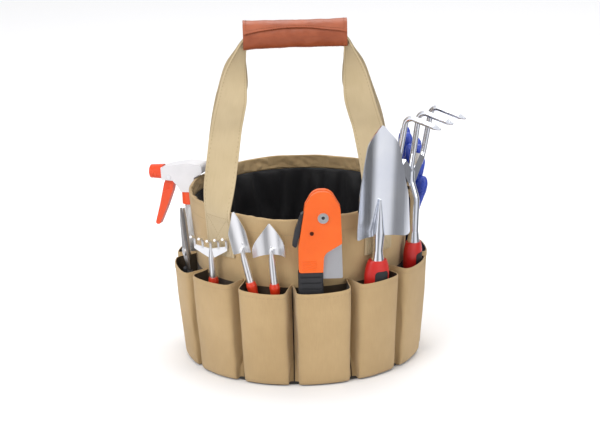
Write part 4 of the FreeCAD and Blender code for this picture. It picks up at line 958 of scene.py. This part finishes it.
def makeFlap():
    half = grip["half"]
    wide = math.radians(grip["flapEnd"] - grip["flapStart"]) * grip["flapRadius"]
    flap = clothSheet("gripFlap", grip["columns"], grip["flapRows"], (2 * half * mm, wide), flapPoint,
                      (grip["leather"] - 0.2) * mm, "grip_flap")
    bevel(flap, 0.5 * mm)
    smooth(flap, 50)
    dress(flap, leather)
    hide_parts("grip_flap")


def makeTapes():
    start, end = grip["tapeStart"], grip["tapeEnd"]
    wide = math.radians(end - start) * grip["tapeRadius"]
    for name, node, body, offset, seed, carrier in grip["tapes"]:
        def tapePoint(u, w):
            return gripPoint((2 * u - 1) * grip["tapeHalf"], start + (end - start) * w, offset, seed)
        tape = clothSheet(name, 80, 8, (grip["tapeLong"], wide), tapePoint, grip["tapeThickness"], body)
        dress(tape, touchTape)
        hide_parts(node)


def sewFlap():
    # a row near each of the flap's four edges: its start and end, and how many stitches
    spots = []
    for start, end, count in (((0.03, 0.09), (0.97, 0.09), 40), ((0.03, 0.93), (0.97, 0.93), 40),
                              ((0.03, 0.09), (0.03, 0.93), 9), ((0.97, 0.09), (0.97, 0.93), 9)):
        def line(share, start=Vector(start), end=Vector(end)):
            spot = flapPoint(*start.lerp(end, share))
            return spot, spot - Vector((spot.x, 0, grip["height"] * mm))
        spots += stitchSpots(line, 0, 1, count, 0.1 * mm)
    makeStitches("flapStitches", spots, 2.4 * mm, 0.7 * mm, leatherThread, "grip_flap")


makeRoll()
makeFlap()
makeTapes()
sewFlap()
print("grip made")


# gloves

glove = {"voxel": 1.5 * mm, "wrinkle": 0.55 * mm, "plump": 1.6 * mm, "cuffTop": 128.0, "cuffEnd": 4.0,
         # shares of the wrinkle that go to folds, fine grain and the cuff's ribs
         "folds": 0.9, "fine": 0.25, "ribs": 0.35}


def makeGlove(node, name, seed):
    piece = nodes[node].copy()
    piece.data = nodes[node].data.copy()
    piece.parent = None
    for key in list(piece.keys()):
        del piece[key]
    bpy.context.scene.collection.objects.link(piece)
    rename(piece, name)
    mergeDoubles(piece)
    applyModifier(piece, "REMESH", mode="VOXEL", voxel_size=glove["voxel"])
    applyModifier(piece, "SMOOTH", factor=0.5, iterations=2)
    mesh = piece.data
    normals = [vertex.normal.copy() for vertex in mesh.vertices]
    for vertex, normal in zip(mesh.vertices, normals):
        x, y, z = vertex.co / mm
        folds = abs(wobble(x / 22, y / 22, z / 7.5, seed)) - 0.3
        fine = wobble(x / 5, y / 5, z / 3.5, seed + 1)
        ribs = math.sin(z * 2.6) * (1 - ease(z, glove["cuffTop"] - glove["cuffEnd"], glove["cuffTop"]))
        relief = glove["folds"] * folds + glove["fine"] * fine + glove["ribs"] * ribs
        vertex.co -= normal * (glove["wrinkle"] * relief - glove["plump"])
    smooth(piece, 80)
    dress(piece, gloveRubber)
    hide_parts(node)
    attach(piece, "gloves")


makeGlove("outer_glove", "outerGlove", 61)
makeGlove("inner_glove", "innerGlove", 64)
print("gloves made")


# small fittings: ridges and a socket on the saw, rivets on the small trowels

fittings = {"ridges": 5, "ridgeStep": 2.9, "ridgeLong": 19.0, "ridgeThick": 0.62, "ridgeInset": 4.6,
            "ridgeFoot": 3.8, "socket": 2.5, "socketDeep": 0.9, "socketProud": 0.12, "ring": 4.3,
            "ringThick": 0.45, "rivet": 1.5, "rivetFlat": 0.5, "rivetBand": 12 * mm,
            "rivetHeight": {"wide_trowel_head": 190.5 * mm, "narrow_trowel_head": 192.5 * mm}}


def onFront(node, x, z):
    # where a straight line from the front meets a node's face
    return nodes[node].ray_cast(Vector((x, -0.5, z)), Vector((0, 1, 0)))[1:3]


def bakePlace(piece, point, direction):
    # turns the piece's Z to the direction and moves it to the point, in its mesh
    turn = direction.to_track_quat("Z", "Y").to_matrix().to_4x4()
    piece.data.transform(Matrix.Translation(point) @ turn)


def makeRidges():
    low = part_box("saw_front_scale")[0]
    for number in range(fittings["ridges"]):
        height = low[2] + (fittings["ridgeFoot"] + fittings["ridgeStep"] * number) * mm
        left = low[0] + fittings["ridgeInset"] * mm
        start = onFront("saw_front_scale", left, height)[0]
        end = onFront("saw_front_scale", left + fittings["ridgeLong"] * mm, height)[0]
        deselectAll()
        bpy.ops.mesh.primitive_cylinder_add(vertices=12, radius=fittings["ridgeThick"] * mm,
                                            depth=(end - start).length)
        ridge = rename(bpy.context.object, f"sawRidge{number + 1}")
        bevel(ridge, 0.4 * mm, 3)
        bakePlace(ridge, (start + end) / 2, end - start)
        smooth(ridge, 50)
        dress(ridge, sawOrange)
        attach(ridge, "saw_handle")


def makeSocket():
    low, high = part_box("saw_pivot_bolt")
    point, normal = onFront("saw_pivot_bolt", (low[0] + high[0]) / 2, (low[2] + high[2]) / 2)
    deselectAll()
    deep = fittings["socketDeep"]
    bpy.ops.mesh.primitive_cylinder_add(vertices=6, radius=fittings["socket"] * mm, depth=deep * mm)
    socket = rename(bpy.context.object, "sawSocket")
    bevel(socket, 0.12 * mm, angle=0.6)
    bakePlace(socket, point - normal * (deep / 2 - fittings["socketProud"]) * mm, normal)
    dress(socket, blackPlastic)
    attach(socket, "saw_handle")
    bpy.ops.mesh.primitive_torus_add(major_radius=fittings["ring"] * mm, major_segments=48,
                                     minor_radius=fittings["ringThick"] * mm, minor_segments=10)
    ring = rename(bpy.context.object, "sawBoltRing")
    bakePlace(ring, point, normal)
    smooth(ring, 60)
    dress(ring, brightScrew)
    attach(ring, "saw_handle")


def makeRivets():
    for node, height in fittings["rivetHeight"].items():
        level = [vertex.co.x for vertex in nodes[node].data.vertices
                 if abs(vertex.co.z - height) < fittings["rivetBand"]]
        middle = sum(level) / len(level)
        point, normal = onFront(node, middle, height)
        deselectAll()
        bpy.ops.mesh.primitive_uv_sphere_add(segments=20, ring_count=12, radius=fittings["rivet"] * mm)
        rivet = rename(bpy.context.object, node.replace("_trowel_head", "") + "Rivet")
        for vertex in rivet.data.vertices:
            vertex.co.z *= fittings["rivetFlat"]
        bakePlace(rivet, point, normal)
        smooth(rivet, 80)
        dress(rivet, sawSteel)
        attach(rivet, node.replace("_head", ""))


makeRidges()
makeSocket()
makeRivets()
print("fittings made")
